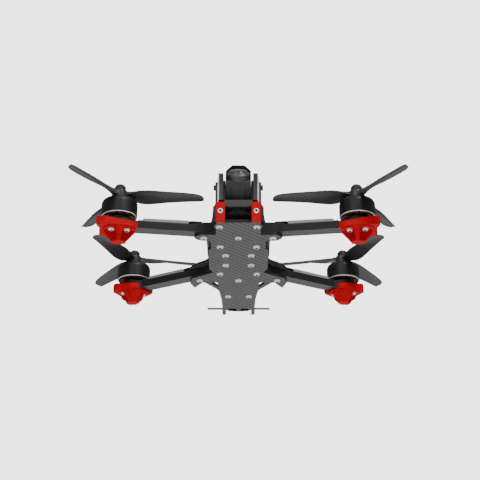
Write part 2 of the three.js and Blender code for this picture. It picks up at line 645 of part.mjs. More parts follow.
const PANEL_THICKNESS = 1.8;
const PANEL_SECTIONS = [
  { y: -60.4, low: 19.5, high: 19.2, top: 30.5 },
  { y: -57.5, low: 19.6, high: 19.2, top: 33 },
  { y: -46, low: 21.5, high: 19.4, top: 33 },
  { y: -30, low: 24.6, high: 19.8, top: 36 },
  { y: 4, low: 24.6, high: 19.8, top: 36 },
  { y: 9.5, low: 24.2, high: 19.6, top: 34 },
];

function sidePanel() {
  const loops = PANEL_SECTIONS.map(({ y, low, high, top }) => [
    new THREE.Vector3(low, y, DECK_Z), new THREE.Vector3(high, y, top),
    new THREE.Vector3(high - PANEL_THICKNESS, y, top), new THREE.Vector3(low - PANEL_THICKNESS, y, DECK_Z),
  ]);
  return loft(loops);
}

add("side_panel_left", sidePanel(), "black_plastic");
add("side_panel_right", mirrored(sidePanel()), "black_plastic");

// ---- Electronics between the plates ----

// A square board on four rubber legs at the stack bolts, with the larger chips on it.
function board(halfSize, low, legsFrom, chips) {
  const middle = (STACK_BOLTS[0][1] + STACK_BOLTS[1][1]) / 2;
  const plate = slab(roundedShape([
    [-halfSize, middle - halfSize, 3], [halfSize, middle - halfSize, 3],
    [halfSize, middle + halfSize, 3], [-halfSize, middle + halfSize, 3],
  ]), low, low + 1.6);
  const legs = bothSides(STACK_BOLTS).map(([x, y]) => rod(x, y, legsFrom, low + 2.6, 2.4, 8));
  const parts = chips.map(([x, y, sizeX, sizeY, height]) => block(
    [x - sizeX / 2, x + sizeX / 2],
    [middle + y - sizeY / 2, middle + y + sizeY / 2],
    [low + 1, low + 1.6 + height]));
  return join(plate, ...legs, ...parts);
}

const escChips = [[0, 0, 11, 20, 1.6], [0, -12.4, 24, 4, 1.2], [0, 12.4, 24, 4, 1.2]];
const flightChips = [[0, 0, 8, 8, 1.2], [0, -10.4, 8, 5, 2.6], [6.4, 9.6, 4, 3, 1.4]];
add("esc_board", board(15.5, 22, DECK_Z, escChips), "board");
add("flight_controller", board(14, 29, 24.9, flightChips), "board");

// Video transmitter: a finned metal box on four legs, with a link button in its rear face.
const VIDEO_UNIT = { half: 14, front: 21.5, rear: 50, low: 20.5, high: 32 };
const LINK_BUTTON = { x: 8, z: 26.5, radius: 1.4, proud: 0.7 };

function videoUnit() {
  const { half, front, rear, low, high } = VIDEO_UNIT;
  const box = block([-half, half], [front, rear], [low, high]);
  const fins = [-10, -5, 0, 5, 10].map((x) =>
    block([x - 0.9, x + 0.9], [front + 2, rear - 2], [high - 1, high + 1.6]));
  const legs = bothSides([[11, front + 3.4], [11, rear - 3.4]])
    .map(([x, y]) => rod(x, y, DECK_Z, low + 1, 2, 8));
  const buttonWell = rod(0, 0, -3, 3, LINK_BUTTON.radius + GAP, 10)
    .rotateX(Math.PI / 2)
    .translate(LINK_BUTTON.x, rear, LINK_BUTTON.z);
  return cut(join(box, ...fins, ...legs), buttonWell);
}

function linkButton() {
  const { x, z, radius, proud } = LINK_BUTTON;
  return rod(0, 0, -proud, 1.6, radius, 10).rotateX(Math.PI / 2).translate(x, VIDEO_UNIT.rear, z);
}

add("video_unit", videoUnit(), "black_metal");
add("video_link_button", linkButton(), "grey_plastic");

function capacitor() {
  const can = turned([[0, -9], [4.2, -9], [4.8, -8.4], [4.8, 8.4], [4.2, 9], [0, 9]], 14);
  return can.rotateY(Math.PI / 2).translate(0, 57.5, DECK_Z + 5);
}

add("capacitor", capacitor(), "black_plastic");

// ---- Tail: battery socket, antenna mount and antennas ----

const SOCKET = { half: 8, y: [73, 88], low: 20.5, high: 28.5 };

function batterySocket() {
  const { half, y, low, high } = SOCKET;
  const shell = slab(roundedShape([[-half, low], [half - 2.4, low], [half, low + 2.4], [half, high - 2.4],
    [half - 2.4, high], [-half, high]]), y[0], y[1]);
  const hollow = slab(roundedShape([[-half + 1.2, low + 1.2], [half - 3, low + 1.2], [half - 1.2, low + 3],
    [half - 1.2, high - 3], [half - 3, high - 1.2], [-half + 1.2, high - 1.2]]), y[1] - 8, y[1] + 1);
  const pins = bothSides([[3.6, 0]]).map(([x]) => rod(x, (low + high) / 2, y[1] - 9, y[1] - 0.6, 1.7, 8));
  const upright = join(cut(shell, hollow), ...pins);
  return upright.applyMatrix4(FACING_TAIL);
}

add("battery_socket", batterySocket(), "connector_yellow");

// Rubber mount on the tail: a shelf under the socket, a boss for the video antenna and two clips behind.
const ANTENNA_STEM = { x: 0, y: 96.5, radius: 1.5 };
const CROSS_ANTENNA = { y: 110.6, z: 12.4, radius: 0.85, half: 27 };

function tailMount() {
  const shelf = block([-7.4, 7.4], [74, 90], [DECK_Z, SOCKET.low - GAP]);
  const base = block([-9.2, 9.2], [88, 105], [ARM_Z, 14]);
  const riser = block([-7.4, 7.4], [88.4, 92], [13, SOCKET.low - GAP]);
  const boss = rod(ANTENNA_STEM.x, ANTENNA_STEM.y, 13, 20, 3.6, 12);
  const clip = block([5.6, 8.4], [104, 112.4], [ARM_Z + 0.1, 14.2]);
  const stemHole = rod(ANTENNA_STEM.x, ANTENNA_STEM.y, 13.5, 21, ANTENNA_STEM.radius + GAP, 10);
  const { y, z, radius } = CROSS_ANTENNA;
  const crossHole = alongX(rod(0, 0, -12, 12, radius + GAP, 8), y, z);
  return cut(join(shelf, base, riser, boss, clip, mirrored(clip)), stemHole, crossHole);
}

function alongX(geometry, y, z) {
  return geometry.rotateY(Math.PI / 2).translate(0, y, z);
}

function crossAntenna() {
  const { y, z, radius, half } = CROSS_ANTENNA;
  const wire = rod(0, 0, -half, half, radius, 8);
  return alongX(join(wire, rod(0, 0, -5, 5, 1.7, 8)), y, z);
}

function videoAntenna() {
  const { x, y, radius } = ANTENNA_STEM;
  const profile = [[0, 14], [radius, 14], [radius, 45], [3, 45.6], [6.6, 47], [7, 48.4], [7, 54], [6, 56.6],
    [3.4, 58], [0, 58.4]];
  return turned(profile, 12).translate(x, y, 0);
}

function receiver() {
  return join(
    block([-5.5, 5.5], [72.5, 86.5], [11.4, 12.6]),
    block([-4, 4], [74, 80], [12, 14.4]),
    block([-2, 2], [82, 85], [12, 13.6]));
}

add("tail_mount", tailMount(), "black_plastic");
add("receiver_antenna", crossAntenna(), "black_plastic");
add("video_antenna", videoAntenna(), "black_plastic");
add("receiver", receiver(), "board");

// ---- Battery seat on the top plate: grip pad, and the strap that passes through the slots ----

const GRIP_PAD = { half: 13.4, front: -27, rear: 38, high: TOP_FACE_Z + 1.4 };

function gripPad() {
  const { half, front, rear, high } = GRIP_PAD;
  const outline = roundedShape([[-half, front, 4], [half, front, 4], [half, rear, 4], [-half, rear, 4]]);
  return slab(outline, TOP_FACE_Z, high);
}

function batteryStrap() {
  const middle = (STRAP_SLOT.inner + STRAP_SLOT.outer) / 2;
  const thick = 1.4;
  const ring = (grow, radius) => {
    const half = middle + grow;
    const low = TOP_PLATE_Z - GAP - thick / 2 - grow;
    const high = GRIP_PAD.high + GAP + thick / 2 + grow;
    return roundedShape([
      [-half, low, radius], [half, low, radius], [half, high, radius], [-half, high, radius],
    ]);
  };
  const [front, rear] = [STRAP_SLOT.front + 1, STRAP_SLOT.rear - 1];
  const outside = slab(ring(thick / 2, 1.8), front, rear);
  const inside = slab(ring(-thick / 2, 0.4), front - 1, rear + 1);
  return cut(outside, inside).applyMatrix4(FACING_TAIL);
}

add("grip_pad", gripPad(), "black_plastic");
add("battery_strap", batteryStrap(), "webbing");

drone.position.y = BOX_AHEAD;

export default drone;
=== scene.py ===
# Looks of a five-inch racing quadcopter. Shapes are drawn in millimetres from the ground midway between the
# motors, with the nose toward -Y. MM turns them into metres in the frame of the CAD.
import math

import bmesh
import bpy
from mathutils import Matrix, Vector


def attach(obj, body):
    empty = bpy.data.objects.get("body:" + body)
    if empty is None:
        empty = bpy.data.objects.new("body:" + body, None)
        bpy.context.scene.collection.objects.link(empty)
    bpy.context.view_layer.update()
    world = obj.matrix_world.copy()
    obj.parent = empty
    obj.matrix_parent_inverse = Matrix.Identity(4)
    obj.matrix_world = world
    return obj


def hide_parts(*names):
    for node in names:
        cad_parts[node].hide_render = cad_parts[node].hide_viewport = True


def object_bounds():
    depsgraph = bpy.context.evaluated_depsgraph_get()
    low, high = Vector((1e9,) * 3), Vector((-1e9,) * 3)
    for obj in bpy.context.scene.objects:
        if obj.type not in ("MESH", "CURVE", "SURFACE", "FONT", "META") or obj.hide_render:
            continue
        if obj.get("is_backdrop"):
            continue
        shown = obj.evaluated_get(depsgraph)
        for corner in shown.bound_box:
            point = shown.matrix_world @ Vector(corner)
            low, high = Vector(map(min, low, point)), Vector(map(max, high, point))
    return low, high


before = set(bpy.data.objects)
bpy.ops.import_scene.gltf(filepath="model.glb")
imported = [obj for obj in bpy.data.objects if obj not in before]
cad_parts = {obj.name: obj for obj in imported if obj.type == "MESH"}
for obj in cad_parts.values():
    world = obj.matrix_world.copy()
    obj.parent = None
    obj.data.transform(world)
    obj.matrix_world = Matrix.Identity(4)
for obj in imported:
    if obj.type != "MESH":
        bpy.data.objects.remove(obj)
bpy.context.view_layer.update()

# The drawing is moved this far toward the tail, so that the CAD's box has its middle at the origin.
AHEAD = 1.51
MM = Matrix.Scale(0.001, 4) @ Matrix.Translation((0, AHEAD, 0))

# Places of the motors and of the bolts in the frame's ears, on the left side.
FRONT_MOTOR = (89.25, -64.25)
REAR_MOTOR = (87.7, 64.25)
FRONT_EAR = (26.1, -54.6)
REAR_EAR = (31.3, 32.1)

# Heights: under the bottom plate, under the arms, under and over the mid plate, under and over the top plate.
BOTTOM, ARM, MID, DECK, TOP, ROOF = 8, 10.5, 16.5, 18.5, 41, 43

CAMERA_PIVOT = (0, -72.5, 41)
CAMERA_TILT = math.radians(50)


# ---- Shader building ----

class Nodes:
    """A material's node tree with short ways to add to it."""

    def __init__(self, name):
        self.material = bpy.data.materials.new(name)
        self.material.use_nodes = True
        self.tree = self.material.node_tree
        self.shader = self.tree.nodes["Principled BSDF"]
        self.place = self.add("ShaderNodeTexCoord").outputs["Object"]
        self.mm = self.vector("SCALE", self.place, scale=1000)

    def add(self, kind, **settings):
        node = self.tree.nodes.new(kind)
        for key, value in settings.items():
            setattr(node, key, value)
        return node

    def put(self, socket, value):
        if isinstance(value, bpy.types.NodeSocket):
            self.tree.links.new(value, socket)
        else:
            socket.default_value = value

    def math(self, operation, a, b=0.0):
        node = self.add("ShaderNodeMath", operation=operation)
        for socket, value in zip(node.inputs, (a, b)):
            self.put(socket, value)
        return node.outputs[0]

    def vector(self, operation, a, b=None, scale=None):
        node = self.add("ShaderNodeVectorMath", operation=operation)
        self.put(node.inputs[0], a)
        if b is not None:
            self.put(node.inputs[1], b)
        if scale is not None:
            self.put(node.inputs["Scale"], scale)
        return node.outputs["Vector"]

    def axes(self, vector):
        node = self.add("ShaderNodeSeparateXYZ")
        self.put(node.inputs[0], vector)
        return node.outputs

    def turned(self, vector, degrees):
        node = self.add("ShaderNodeVectorRotate", rotation_type="Z_AXIS")
        self.put(node.inputs["Vector"], vector)
        node.inputs["Angle"].default_value = math.radians(degrees)
        return node.outputs[0]

    def noise(self, scale, detail=4.0, stretch=(1, 1, 1), vector=None):
        node = self.add("ShaderNodeTexNoise")
        self.put(node.inputs["Vector"], self.vector("MULTIPLY", vector or self.mm, stretch))
        node.inputs["Scale"].default_value = scale
        node.inputs["Detail"].default_value = detail
        node.inputs["Roughness"].default_value = 0.55
        return node.outputs["Fac"]

    def between(self, value, low, high, to_low=0.0, to_high=1.0):
        node = self.add("ShaderNodeMapRange")
        for socket, number in zip(node.inputs, (value, low, high, to_low, to_high)):
            self.put(socket, number)
        return node.outputs[0]

    def mix(self, factor, a, b):
        node = self.add("ShaderNodeMix", data_type="RGBA")
        for socket, value in ((node.inputs[0], factor), (node.inputs[6], a), (node.inputs[7], b)):
            self.put(socket, value)
        return node.outputs[2]

    def bump(self, height, distance, strength):
        node = self.add("ShaderNodeBump")
        node.inputs["Strength"].default_value = strength
        node.inputs["Distance"].default_value = distance * 0.001
        self.put(node.inputs["Height"], height)
        return node.outputs[0]

    def facing_up(self):
        """How nearly a face lies flat: 1 on the top and bottom of a plate, 0 on its edges."""
        normal = self.add("ShaderNodeNewGeometry").outputs["True Normal"]
        return self.math("ABSOLUTE", self.axes(normal)[2])

    def edge_wear(self, low=0.52, high=0.62):
        pointiness = self.add("ShaderNodeNewGeometry").outputs["Pointiness"]
        return self.between(pointiness, low, high)

    def finish(self, **inputs):
        for key, value in inputs.items():
            self.put(self.shader.inputs[key.replace("_", " ")], value)
        return self.material


def grey(value, tint=(1, 1, 1)):
    return (value * tint[0], value * tint[1], value * tint[2], 1)


def carbon(name, turn=0.0):
    """Two-by-two twill of flat tows, with plain dark layers where the plate's edge is cut."""
    n = Nodes(name)
    tow = 1.5
    x, y, _ = n.axes(n.vector("SCALE", n.turned(n.mm, turn), scale=1 / tow))
    column, row = n.math("FLOOR", x), n.math("FLOOR", y)
    step = n.math("FLOORED_MODULO", n.math("SUBTRACT", column, row), 4)
    warp = n.math("LESS_THAN", step, 1.5)
    across_x = n.math("PINGPONG", x, 0.5)
    across_y = n.math("PINGPONG", y, 0.5)
    across = n.mix(warp, across_y, across_x)
    crown = n.math("POWER", n.math("MULTIPLY", across, 2.0), 0.6)
    fibres_x = n.noise(1.0, 3, (14 / tow, 0.5, 0.5), vector=n.turned(n.mm, turn))
    fibres_y = n.noise(1.0, 3, (0.5, 14 / tow, 0.5), vector=n.turned(n.mm, turn))
    fibres = n.mix(warp, fibres_y, fibres_x)
    blotch = n.noise(0.09, 3)
    tone = n.math("MULTIPLY", crown, n.between(fibres, 0.3, 0.7, 0.65, 1.15))
    tone = n.math("MULTIPLY", tone, n.between(warp, 0, 1, 0.42, 1.0))
    tone = n.math("MULTIPLY", tone, n.between(blotch, 0.3, 0.7, 0.88, 1.1))
    face = n.mix(tone, grey(0.012), grey(0.12, (1, 1.005, 1.02)))
    layer = n.math("PINGPONG", n.math("MULTIPLY", n.axes(n.mm)[2], 4.2), 1.0)
    edge = n.mix(n.math("MULTIPLY", layer, n.noise(2.0, 3)), grey(0.009), grey(0.022))
    flat = n.between(n.facing_up(), 0.55, 0.75)
    scratches = n.between(n.noise(0.8, 5, (0.15, 2.6, 1)), 0.62, 0.8)
    rough_face = n.between(fibres, 0.25, 0.75, 0.30, 0.42)
    rough = n.mix(flat, grey(0.5), n.math("ADD", rough_face, n.math("MULTIPLY", scratches, 0.12)))
    woven = n.math("ADD", crown, n.math("MULTIPLY", fibres, 0.3))
    height = n.mix(flat, n.math("MULTIPLY", layer, 0.5), woven)
    coat = n.math("MULTIPLY", flat, n.between(warp, 0, 1, 0.1, 0.3))
    return n.finish(
        Base_Color=n.mix(flat, edge, face), Roughness=rough, Normal=n.bump(height, 0.06, 0.55),
        Coat_Weight=coat, Coat_Roughness=0.22, Specular_IOR_Level=0.25)


def shaded(color, factor, lift=0.0):
    """A colour made darker or lighter."""
    return [min(1, c * factor + lift) for c in color[:3]] + [1]


def moulded(
        name, color, rough=0.45, grain=5.0, depth=0.03, wear=0.0, vary=0.12, coat=0.0, layers=0.0, gloss=0.5):
    """Plastic or rubber: fine grain, uneven gloss, slightly rubbed edges and, if asked, printed layers."""
    n = Nodes(name)
    fine, broad = n.noise(grain, 5), n.noise(0.16, 4)
    base = n.mix(n.between(broad, 0.3, 0.7), shaded(color, 1 - vary), shaded(color, 1 + vary))
    if wear:
        rubbed = n.math("MULTIPLY", n.edge_wear(), n.between(n.noise(0.9, 4), 0.35, 0.65, 0, wear))
        base = n.mix(rubbed, base, shaded(color, 2.2, 0.03))
    height = fine
    if layers:
        line = n.math("PINGPONG", n.math("MULTIPLY", n.axes(n.mm)[2], 1 / layers), 1.0)
        height = n.math("ADD", n.math("MULTIPLY", fine, 0.5), line)
    smear = n.between(n.noise(0.35, 4, (1, 0.4, 1)), 0.3, 0.7, -0.06, 0.08)
    return n.finish(
        Base_Color=base, Roughness=n.math("ADD", smear, rough), Normal=n.bump(height, depth, 0.6),
        Coat_Weight=coat, Coat_Roughness=0.15, Specular_IOR_Level=gloss)


def metal(name, color, rough=0.3, brushed=(1, 1, 1), metallic=1.0, wear=0.0):
    """Metal with fine marks, stretched where it is brushed, and edges worn bright if asked."""
    n = Nodes(name)
    marks = n.noise(3.0, 5, brushed)
    broad = n.noise(0.22, 3)
    base = n.mix(n.between(marks, 0.3, 0.7), shaded(color, 0.86), shaded(color, 1.1))
    if wear:
        rubbed = n.math("MULTIPLY", n.edge_wear(0.515, 0.56), n.between(n.noise(1.4, 4), 0.4, 0.65, 0, wear))
        base = n.mix(rubbed, base, (0.16, 0.16, 0.165, 1))
    polish = n.between(broad, 0.3, 0.7, rough, rough + 0.06)
    roughness = n.math("ADD", n.between(marks, 0.3, 0.7, -0.05, 0.06), polish)
    return n.finish(Base_Color=base, Metallic=metallic, Roughness=roughness, Normal=n.bump(marks, 0.012, 0.5))


def windings(name):
    """Enamelled copper wire laid side by side round each tooth."""
    n = Nodes(name)
    x, y, z = n.axes(n.mm)
    lay = n.math("ADD", n.math("MULTIPLY", z, 3.2), n.math("MULTIPLY", n.math("ADD", x, y), 1.1))
    wire = n.math("PINGPONG", lay, 0.5)
    crown = n.math("POWER", n.math("MULTIPLY", wire, 2), 0.5)
    tone = n.math("MULTIPLY", crown, n.between(n.noise(0.6, 3), 0.3, 0.7, 0.6, 1.0))
    base = n.mix(tone, (0.05, 0.018, 0.008, 1), (0.46, 0.2, 0.075, 1))
    return n.finish(
        Base_Color=base, Metallic=0.75, Roughness=0.34, Normal=n.bump(crown, 0.12, 0.8), Coat_Weight=0.4)


def solder_mask(name, color):
    """Circuit board: a coloured mask over faint tracks, with scattered bright pads."""
    n = Nodes(name)
    cells = n.add("ShaderNodeTexBrick", offset=0.5, squash=1.0)
    n.put(cells.inputs["Vector"], n.mm)
    cells.inputs["Scale"].default_value = 0.55
    cells.inputs["Mortar Size"].default_value = 0.045
    cells.inputs["Color1"].default_value = grey(0.0)
    cells.inputs["Color2"].default_value = grey(0.15)
    cells.inputs["Mortar"].default_value = grey(1.0)
    track = n.math("GREATER_THAN", cells.outputs["Color"], 0.5)
    dots = n.add("ShaderNodeTexVoronoi", feature="F1", distance="CHEBYCHEV")
    n.put(dots.inputs["Vector"], n.mm)
    dots.inputs["Scale"].default_value = 0.42
    dots.inputs["Randomness"].default_value = 0.55
    pad = n.math("LESS_THAN", dots.outputs["Distance"], 0.17)
    mask = n.mix(n.math("MULTIPLY", track, 0.6), shaded(color, 1), shaded(color, 2.6))
    base = n.mix(pad, mask, (0.62, 0.6, 0.55, 1))
    return n.finish(
        Base_Color=base, Metallic=n.math("MULTIPLY", pad, 0.9), Roughness=n.between(pad, 0, 1, 0.42, 0.3),
        Normal=n.bump(n.math("ADD", track, pad), 0.05, 0.7))


def webbing(name):
    """Woven strap: a fuzzy check of threads in ribs."""
    n = Nodes(name)
    x, y, z = n.axes(n.mm)
    along = n.math("MULTIPLY", n.math("ADD", x, z), 1.6)
    across = n.math("MULTIPLY", y, 1.6)
    check = n.math("PINGPONG", n.math("ADD", along, n.math("FLOOR", across)), 1.0)
    rib = n.math("PINGPONG", across, 0.5)
    height = n.math("MULTIPLY", n.math("POWER", check, 0.7), n.math("POWER", n.math("MULTIPLY", rib, 2), 0.5))
    fuzz = n.noise(6.0, 4)
    base = n.mix(n.math("MULTIPLY", height, n.between(fuzz, 0.3, 0.7, 0.5, 1)), grey(0.008), grey(0.045))
    return n.finish(Base_Color=base, Roughness=0.85, Normal=n.bump(height, 0.25, 0.9), Sheen_Weight=0.4)


def coated_glass(name):
    """Dark lens glass with the faint smudges of a wiped surface."""
    n = Nodes(name)
    smudge = n.between(n.noise(0.5, 5, (1, 1, 2.5)), 0.45, 0.75)
    base = n.mix(smudge, (0.003, 0.004, 0.008, 1), (0.012, 0.013, 0.02, 1))
    rough = n.between(smudge, 0, 1, 0.03, 0.16)
    return n.finish(Base_Color=base, Roughness=rough, Coat_Weight=1.0, Coat_Roughness=0.02, IOR=1.6)


CARBON = carbon("carbon twill")
ARM_CARBON = carbon("arm carbon", turn=45)
RED = moulded("red rubber", (0.55, 0.0, 0.006), rough=0.5, grain=3.2, depth=0.05, layers=0.36, gloss=0.1)
BLACK_METAL = metal("black anodised", (0.012, 0.012, 0.013), rough=0.36, metallic=0.35, wear=0.35)
BELL_METAL = metal("bell anodised", (0.011, 0.011, 0.012), rough=0.42, brushed=(0.4, 0.4, 5), metallic=0.35)
STEEL = metal("polished steel", (0.96, 0.96, 0.97), rough=0.24, metallic=0.35)
SILVER = metal("cut aluminium", (0.93, 0.93, 0.94), rough=0.3, brushed=(0.3, 0.3, 6), metallic=0.45)
MAGNET = metal("magnet", (0.34, 0.34, 0.35), rough=0.34)
LAMINATION = metal("stator steel", (0.05, 0.05, 0.052), rough=0.42, brushed=(0.3, 0.3, 9), metallic=0.6)
COPPER = windings("copper windings")
PROP = moulded(
    "propeller plastic", grey(0.03, (1, 1.01, 1.03)), rough=0.34, grain=1.6, depth=0.012, vary=0.06, coat=0.1)
GREY_PLASTIC = moulded("grey plastic", grey(0.3, (1, 1, 1.01)), rough=0.4, grain=6, depth=0.02, vary=0.08)
BLACK_PLASTIC = moulded("black plastic", grey(0.017), rough=0.42, grain=6, depth=0.03, wear=0.35)
CRADLE_PLASTIC = moulded("cradle plastic", grey(0.03), rough=0.5, grain=5, depth=0.04, wear=0.3)
PANEL_PLASTIC = moulded("side panel plastic", grey(0.022), rough=0.36, grain=4, depth=0.03, wear=0.3)
HOOD_PLASTIC = moulded("camera hood plastic", grey(0.008), rough=0.4, grain=7, depth=0.03, wear=0.3)
RUBBER = moulded("black rubber", grey(0.014), rough=0.7, grain=4, depth=0.08, vary=0.2)
BARREL = metal("lens barrel", (0.085, 0.085, 0.088), rough=0.4, brushed=(0.3, 0.3, 3), metallic=0.5)
NYLON = moulded("connector nylon", (0.72, 0.4, 0.03, 1), rough=0.38, grain=4, depth=0.02)
WIRE_BLACK = moulded("wire sleeve", grey(0.012), rough=0.42, grain=3, depth=0.02)
BOARD = solder_mask("circuit board", (0.012, 0.016, 0.014))
CHIP = moulded("chip package", grey(0.012), rough=0.45, grain=9, depth=0.015)
WEB = webbing("strap webbing")
BRASS = metal("brass pin", (0.75, 0.52, 0.2), rough=0.2)
GLASS = coated_glass("coated lens glass")
LABEL = moulded("heat shrink", grey(0.02), rough=0.25, grain=2, depth=0.02, coat=0.3)


# ---- Meshes: lists of corners and faces, in millimetres ----

class Mesh:
    """A shape under construction: corners, faces and the material of each face."""

    def __init__(self):
        self.corners, self.faces, self.finishes, self.used = [], [], [], []

    def index(self, material):
        if material not in self.used:
            self.used.append(material)
        return self.used.index(material)

    def add(self, corners, faces, material, matrix=None):
        start = len(self.corners)
        matrix = matrix or Matrix.Identity(4)
        self.corners += [matrix @ Vector(c) for c in corners]
        flipped = matrix.determinant() < 0
        number = self.index(material)
        for face in faces:
            face = [start + i for i in face]
            self.faces.append(face[::-1] if flipped else face)
            self.finishes.append(number)
        return self

    def piece(self, name, body, replaces=(), slot=None, smooth=35, matrix=None):
        """Makes the object, in metres, riding on a body and standing for CAD nodes."""
        whole = MM @ (matrix or Matrix.Identity(4))
        flipped = whole.determinant() < 0
        data = bpy.data.meshes.new(name)
        faces = [f[::-1] for f in self.faces] if flipped else self.faces
        data.from_pydata([whole @ c for c in self.corners], [], faces)
        for material in self.used:
            data.materials.append(material)
        data.polygons.foreach_set("material_index", self.finishes)
        data.validate()
        tidy = bmesh.new()
        tidy.from_mesh(data)
        bmesh.ops.remove_doubles(tidy, verts=tidy.verts, dist=1e-6)
        tidy.to_mesh(data)
        tidy.free()
        data.polygons.foreach_set("use_smooth", [True] * len(data.polygons))
        data.set_sharp_from_angle(angle=math.radians(smooth))
        obj = bpy.data.objects.new(name, data)
        bpy.context.scene.collection.objects.link(obj)
        even = obj.modifiers.new("even shading", "WEIGHTED_NORMAL")
        even.keep_sharp = True
        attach(obj, body)
        if replaces:
            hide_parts(*replaces)
        return obj


def rounded(corners, steps=5):
    """Outline with each corner (x, y, radius) rounded off."""
    loop = []
    count = len(corners)
    for i, corner in enumerate(corners):
        here = Vector(corner[:2])
        radius = corner[2] if len(corner) > 2 else 0
        if radius <= 0:
            loop.append(tuple(here))
            continue
        before = Vector(corners[i - 1][:2]) - here
        after = Vector(corners[(i + 1) % count][:2]) - here
        reach = min(radius, before.length * 0.48, after.length * 0.48)
        start, end = here + before.normalized() * reach, here + after.normalized() * reach
        for k in range(steps + 1):
            t = k / steps
            point = start * (1 - t) ** 2 + here * 2 * t * (1 - t) + end * t ** 2
            loop.append(tuple(point))
    return loop


def polar(radius, angle):
    return radius * math.cos(angle), radius * math.sin(angle)


def ring(x, y, radius, sides=20):
    around = [polar(radius, 2 * math.pi * i / sides) for i in range(sides)]
    return [(x + aside, y + ahead) for aside, ahead in around]


def plate(outline, low, high, holes=(), bevel=0.2, resolution=2):
    """A flat piece with openings and softened edges, as (corners, faces)."""
    curve = bpy.data.curves.new("outline", "CURVE")
    curve.dimensions = "2D"
    curve.fill_mode = "BOTH"
    for loop in (outline, *holes):
        spline = curve.splines.new("POLY")
        spline.points.add(len(loop) - 1)
        for point, (x, y) in zip(spline.points, loop):
            point.co = (x, y, 0, 1)
        spline.use_cyclic_u = True
    curve.extrude = (high - low) / 2 - bevel
    curve.bevel_depth = bevel
    curve.bevel_resolution = resolution
    curve.offset = -bevel
    holder = bpy.data.objects.new("outline", curve)
    bpy.context.scene.collection.objects.link(holder)
    view = bpy.context.evaluated_depsgraph_get()
    data = bpy.data.meshes.new_from_object(holder.evaluated_get(view))
    middle = (low + high) / 2
    corners = [(v.co.x, v.co.y, v.co.z + middle) for v in data.vertices]
    faces = [list(p.vertices) for p in data.polygons]
    bpy.data.objects.remove(holder)
    bpy.data.meshes.remove(data)
    bpy.data.curves.remove(curve)
    return corners, faces


def lathe(profile, sides=48, closed=False):
    """Turns [radius, height] points about Z."""
    corners, rows = [], []
    for radius, height in profile:
        if abs(radius) < 1e-6:
            rows.append([len(corners)] * sides)
            corners.append((0, 0, height))
        else:
            rows.append(list(range(len(corners), len(corners) + sides)))
            corners += [(x, y, height) for x, y in ring(0, 0, radius, sides)]
    pairs = list(zip(rows, rows[1:]))
    if closed:
        pairs.append((rows[-1], rows[0]))
    faces = []
    for lower, upper in pairs:
        for i in range(sides):
            j = (i + 1) % sides
            face = []
            for corner in (lower[i], lower[j], upper[j], upper[i]):
                if corner not in face:
                    face.append(corner)
            if len(face) > 2:
                faces.append(face)
    return corners, faces


def loft(loops):
    """Skin through loops of equal count, with flat ends."""
    count = len(loops[0])
    corners = [tuple(p) for loop in loops for p in loop]
    faces = []
    for row in range(len(loops) - 1):
        for i in range(count):
            j = (i + 1) % count
            a, b = row * count + i, row * count + j
            faces.append([a, b, b + count, a + count])
    faces.append(list(range(count))[::-1])
    last = (len(loops) - 1) * count
    faces.append([last + i for i in range(count)])
    return corners, faces


def box(x, y, z, bevel):
    """A block between two limits along each axis, with rounded edges."""
    work = bmesh.new()
    size = Matrix.Diagonal((x[1] - x[0], y[1] - y[0], z[1] - z[0], 1))
    middle = Matrix.Translation(((x[0] + x[1]) / 2, (y[0] + y[1]) / 2, (z[0] + z[1]) / 2))
    bmesh.ops.create_cube(work, size=1, matrix=middle @ size)
    bmesh.ops.bevel(work, geom=work.edges[:], offset=bevel, segments=2, profile=0.5, affect="EDGES")
    corners = [tuple(v.co) for v in work.verts]
    faces = [[v.index for v in f.verts] for f in work.faces]
    work.free()
    return corners, faces


def tube(points, radius, sides=12):
    """A round cord through points, as a skin with flat ends."""
    points = [Vector(p) for p in points]
    loops = []
    side = None
    for i, here in enumerate(points):
        ahead = (points[min(i + 1, len(points) - 1)] - points[max(i - 1, 0)]).normalized()
        if side is None:
            side = ahead.orthogonal().normalized()
        side = (side - ahead * side.dot(ahead)).normalized()
        other = ahead.cross(side)
        loops.append([here + side * a + other * b for a, b in ring(0, 0, radius, sides)])
    return loft(loops)


def curve_through(points, steps=8):
    """Smooth path through points."""
    points = [Vector(p) for p in points]
    path = []
    for i in range(len(points) - 1):
        p0, p1 = points[max(i - 1, 0)], points[i]
        p2, p3 = points[i + 1], points[min(i + 2, len(points) - 1)]
        for k in range(steps):
            t = k / steps
            path.append(0.5 * (
                2 * p1 + (p2 - p0) * t + (2 * p0 - 5 * p1 + 4 * p2 - p3) * t * t
                + (3 * p1 - p0 - 3 * p2 + p3) * t ** 3))
    path.append(points[-1])
    return path


# ---- Ways to place and repeat shapes ----

SAME = Matrix.Identity(4)
MIRROR = Matrix.Diagonal((-1, 1, 1, 1))
SIDES = (("left", SAME), ("right", MIRROR))

# A shape drawn in X-Y and raised along Z is turned so that it is drawn in Y-Z and runs along +X, or is drawn
# in X-Z and runs along -Y, or is drawn in X-Z seen from behind and runs along +Y.
ALONG_X = Matrix(((0, 0, 1, 0), (1, 0, 0, 0), (0, 1, 0, 0), (0, 0, 0, 1)))
NOSEWARD = Matrix(((1, 0, 0, 0), (0, 0, -1, 0), (0, 1, 0, 0), (0, 0, 0, 1)))
TAILWARD = Matrix(((-1, 0, 0, 0), (0, 0, 1, 0), (0, 1, 0, 0), (0, 0, 0, 1)))

# A shape that points up is turned to point down, to the nose, to the tail or to the left.
DOWN = Matrix.Rotation(math.pi, 4, "X")
TO_NOSE = Matrix.Rotation(math.pi / 2, 4, "X")
TO_TAIL = Matrix.Rotation(-math.pi / 2, 4, "X")
TO_LEFT = Matrix.Rotation(math.pi / 2, 4, "Y")


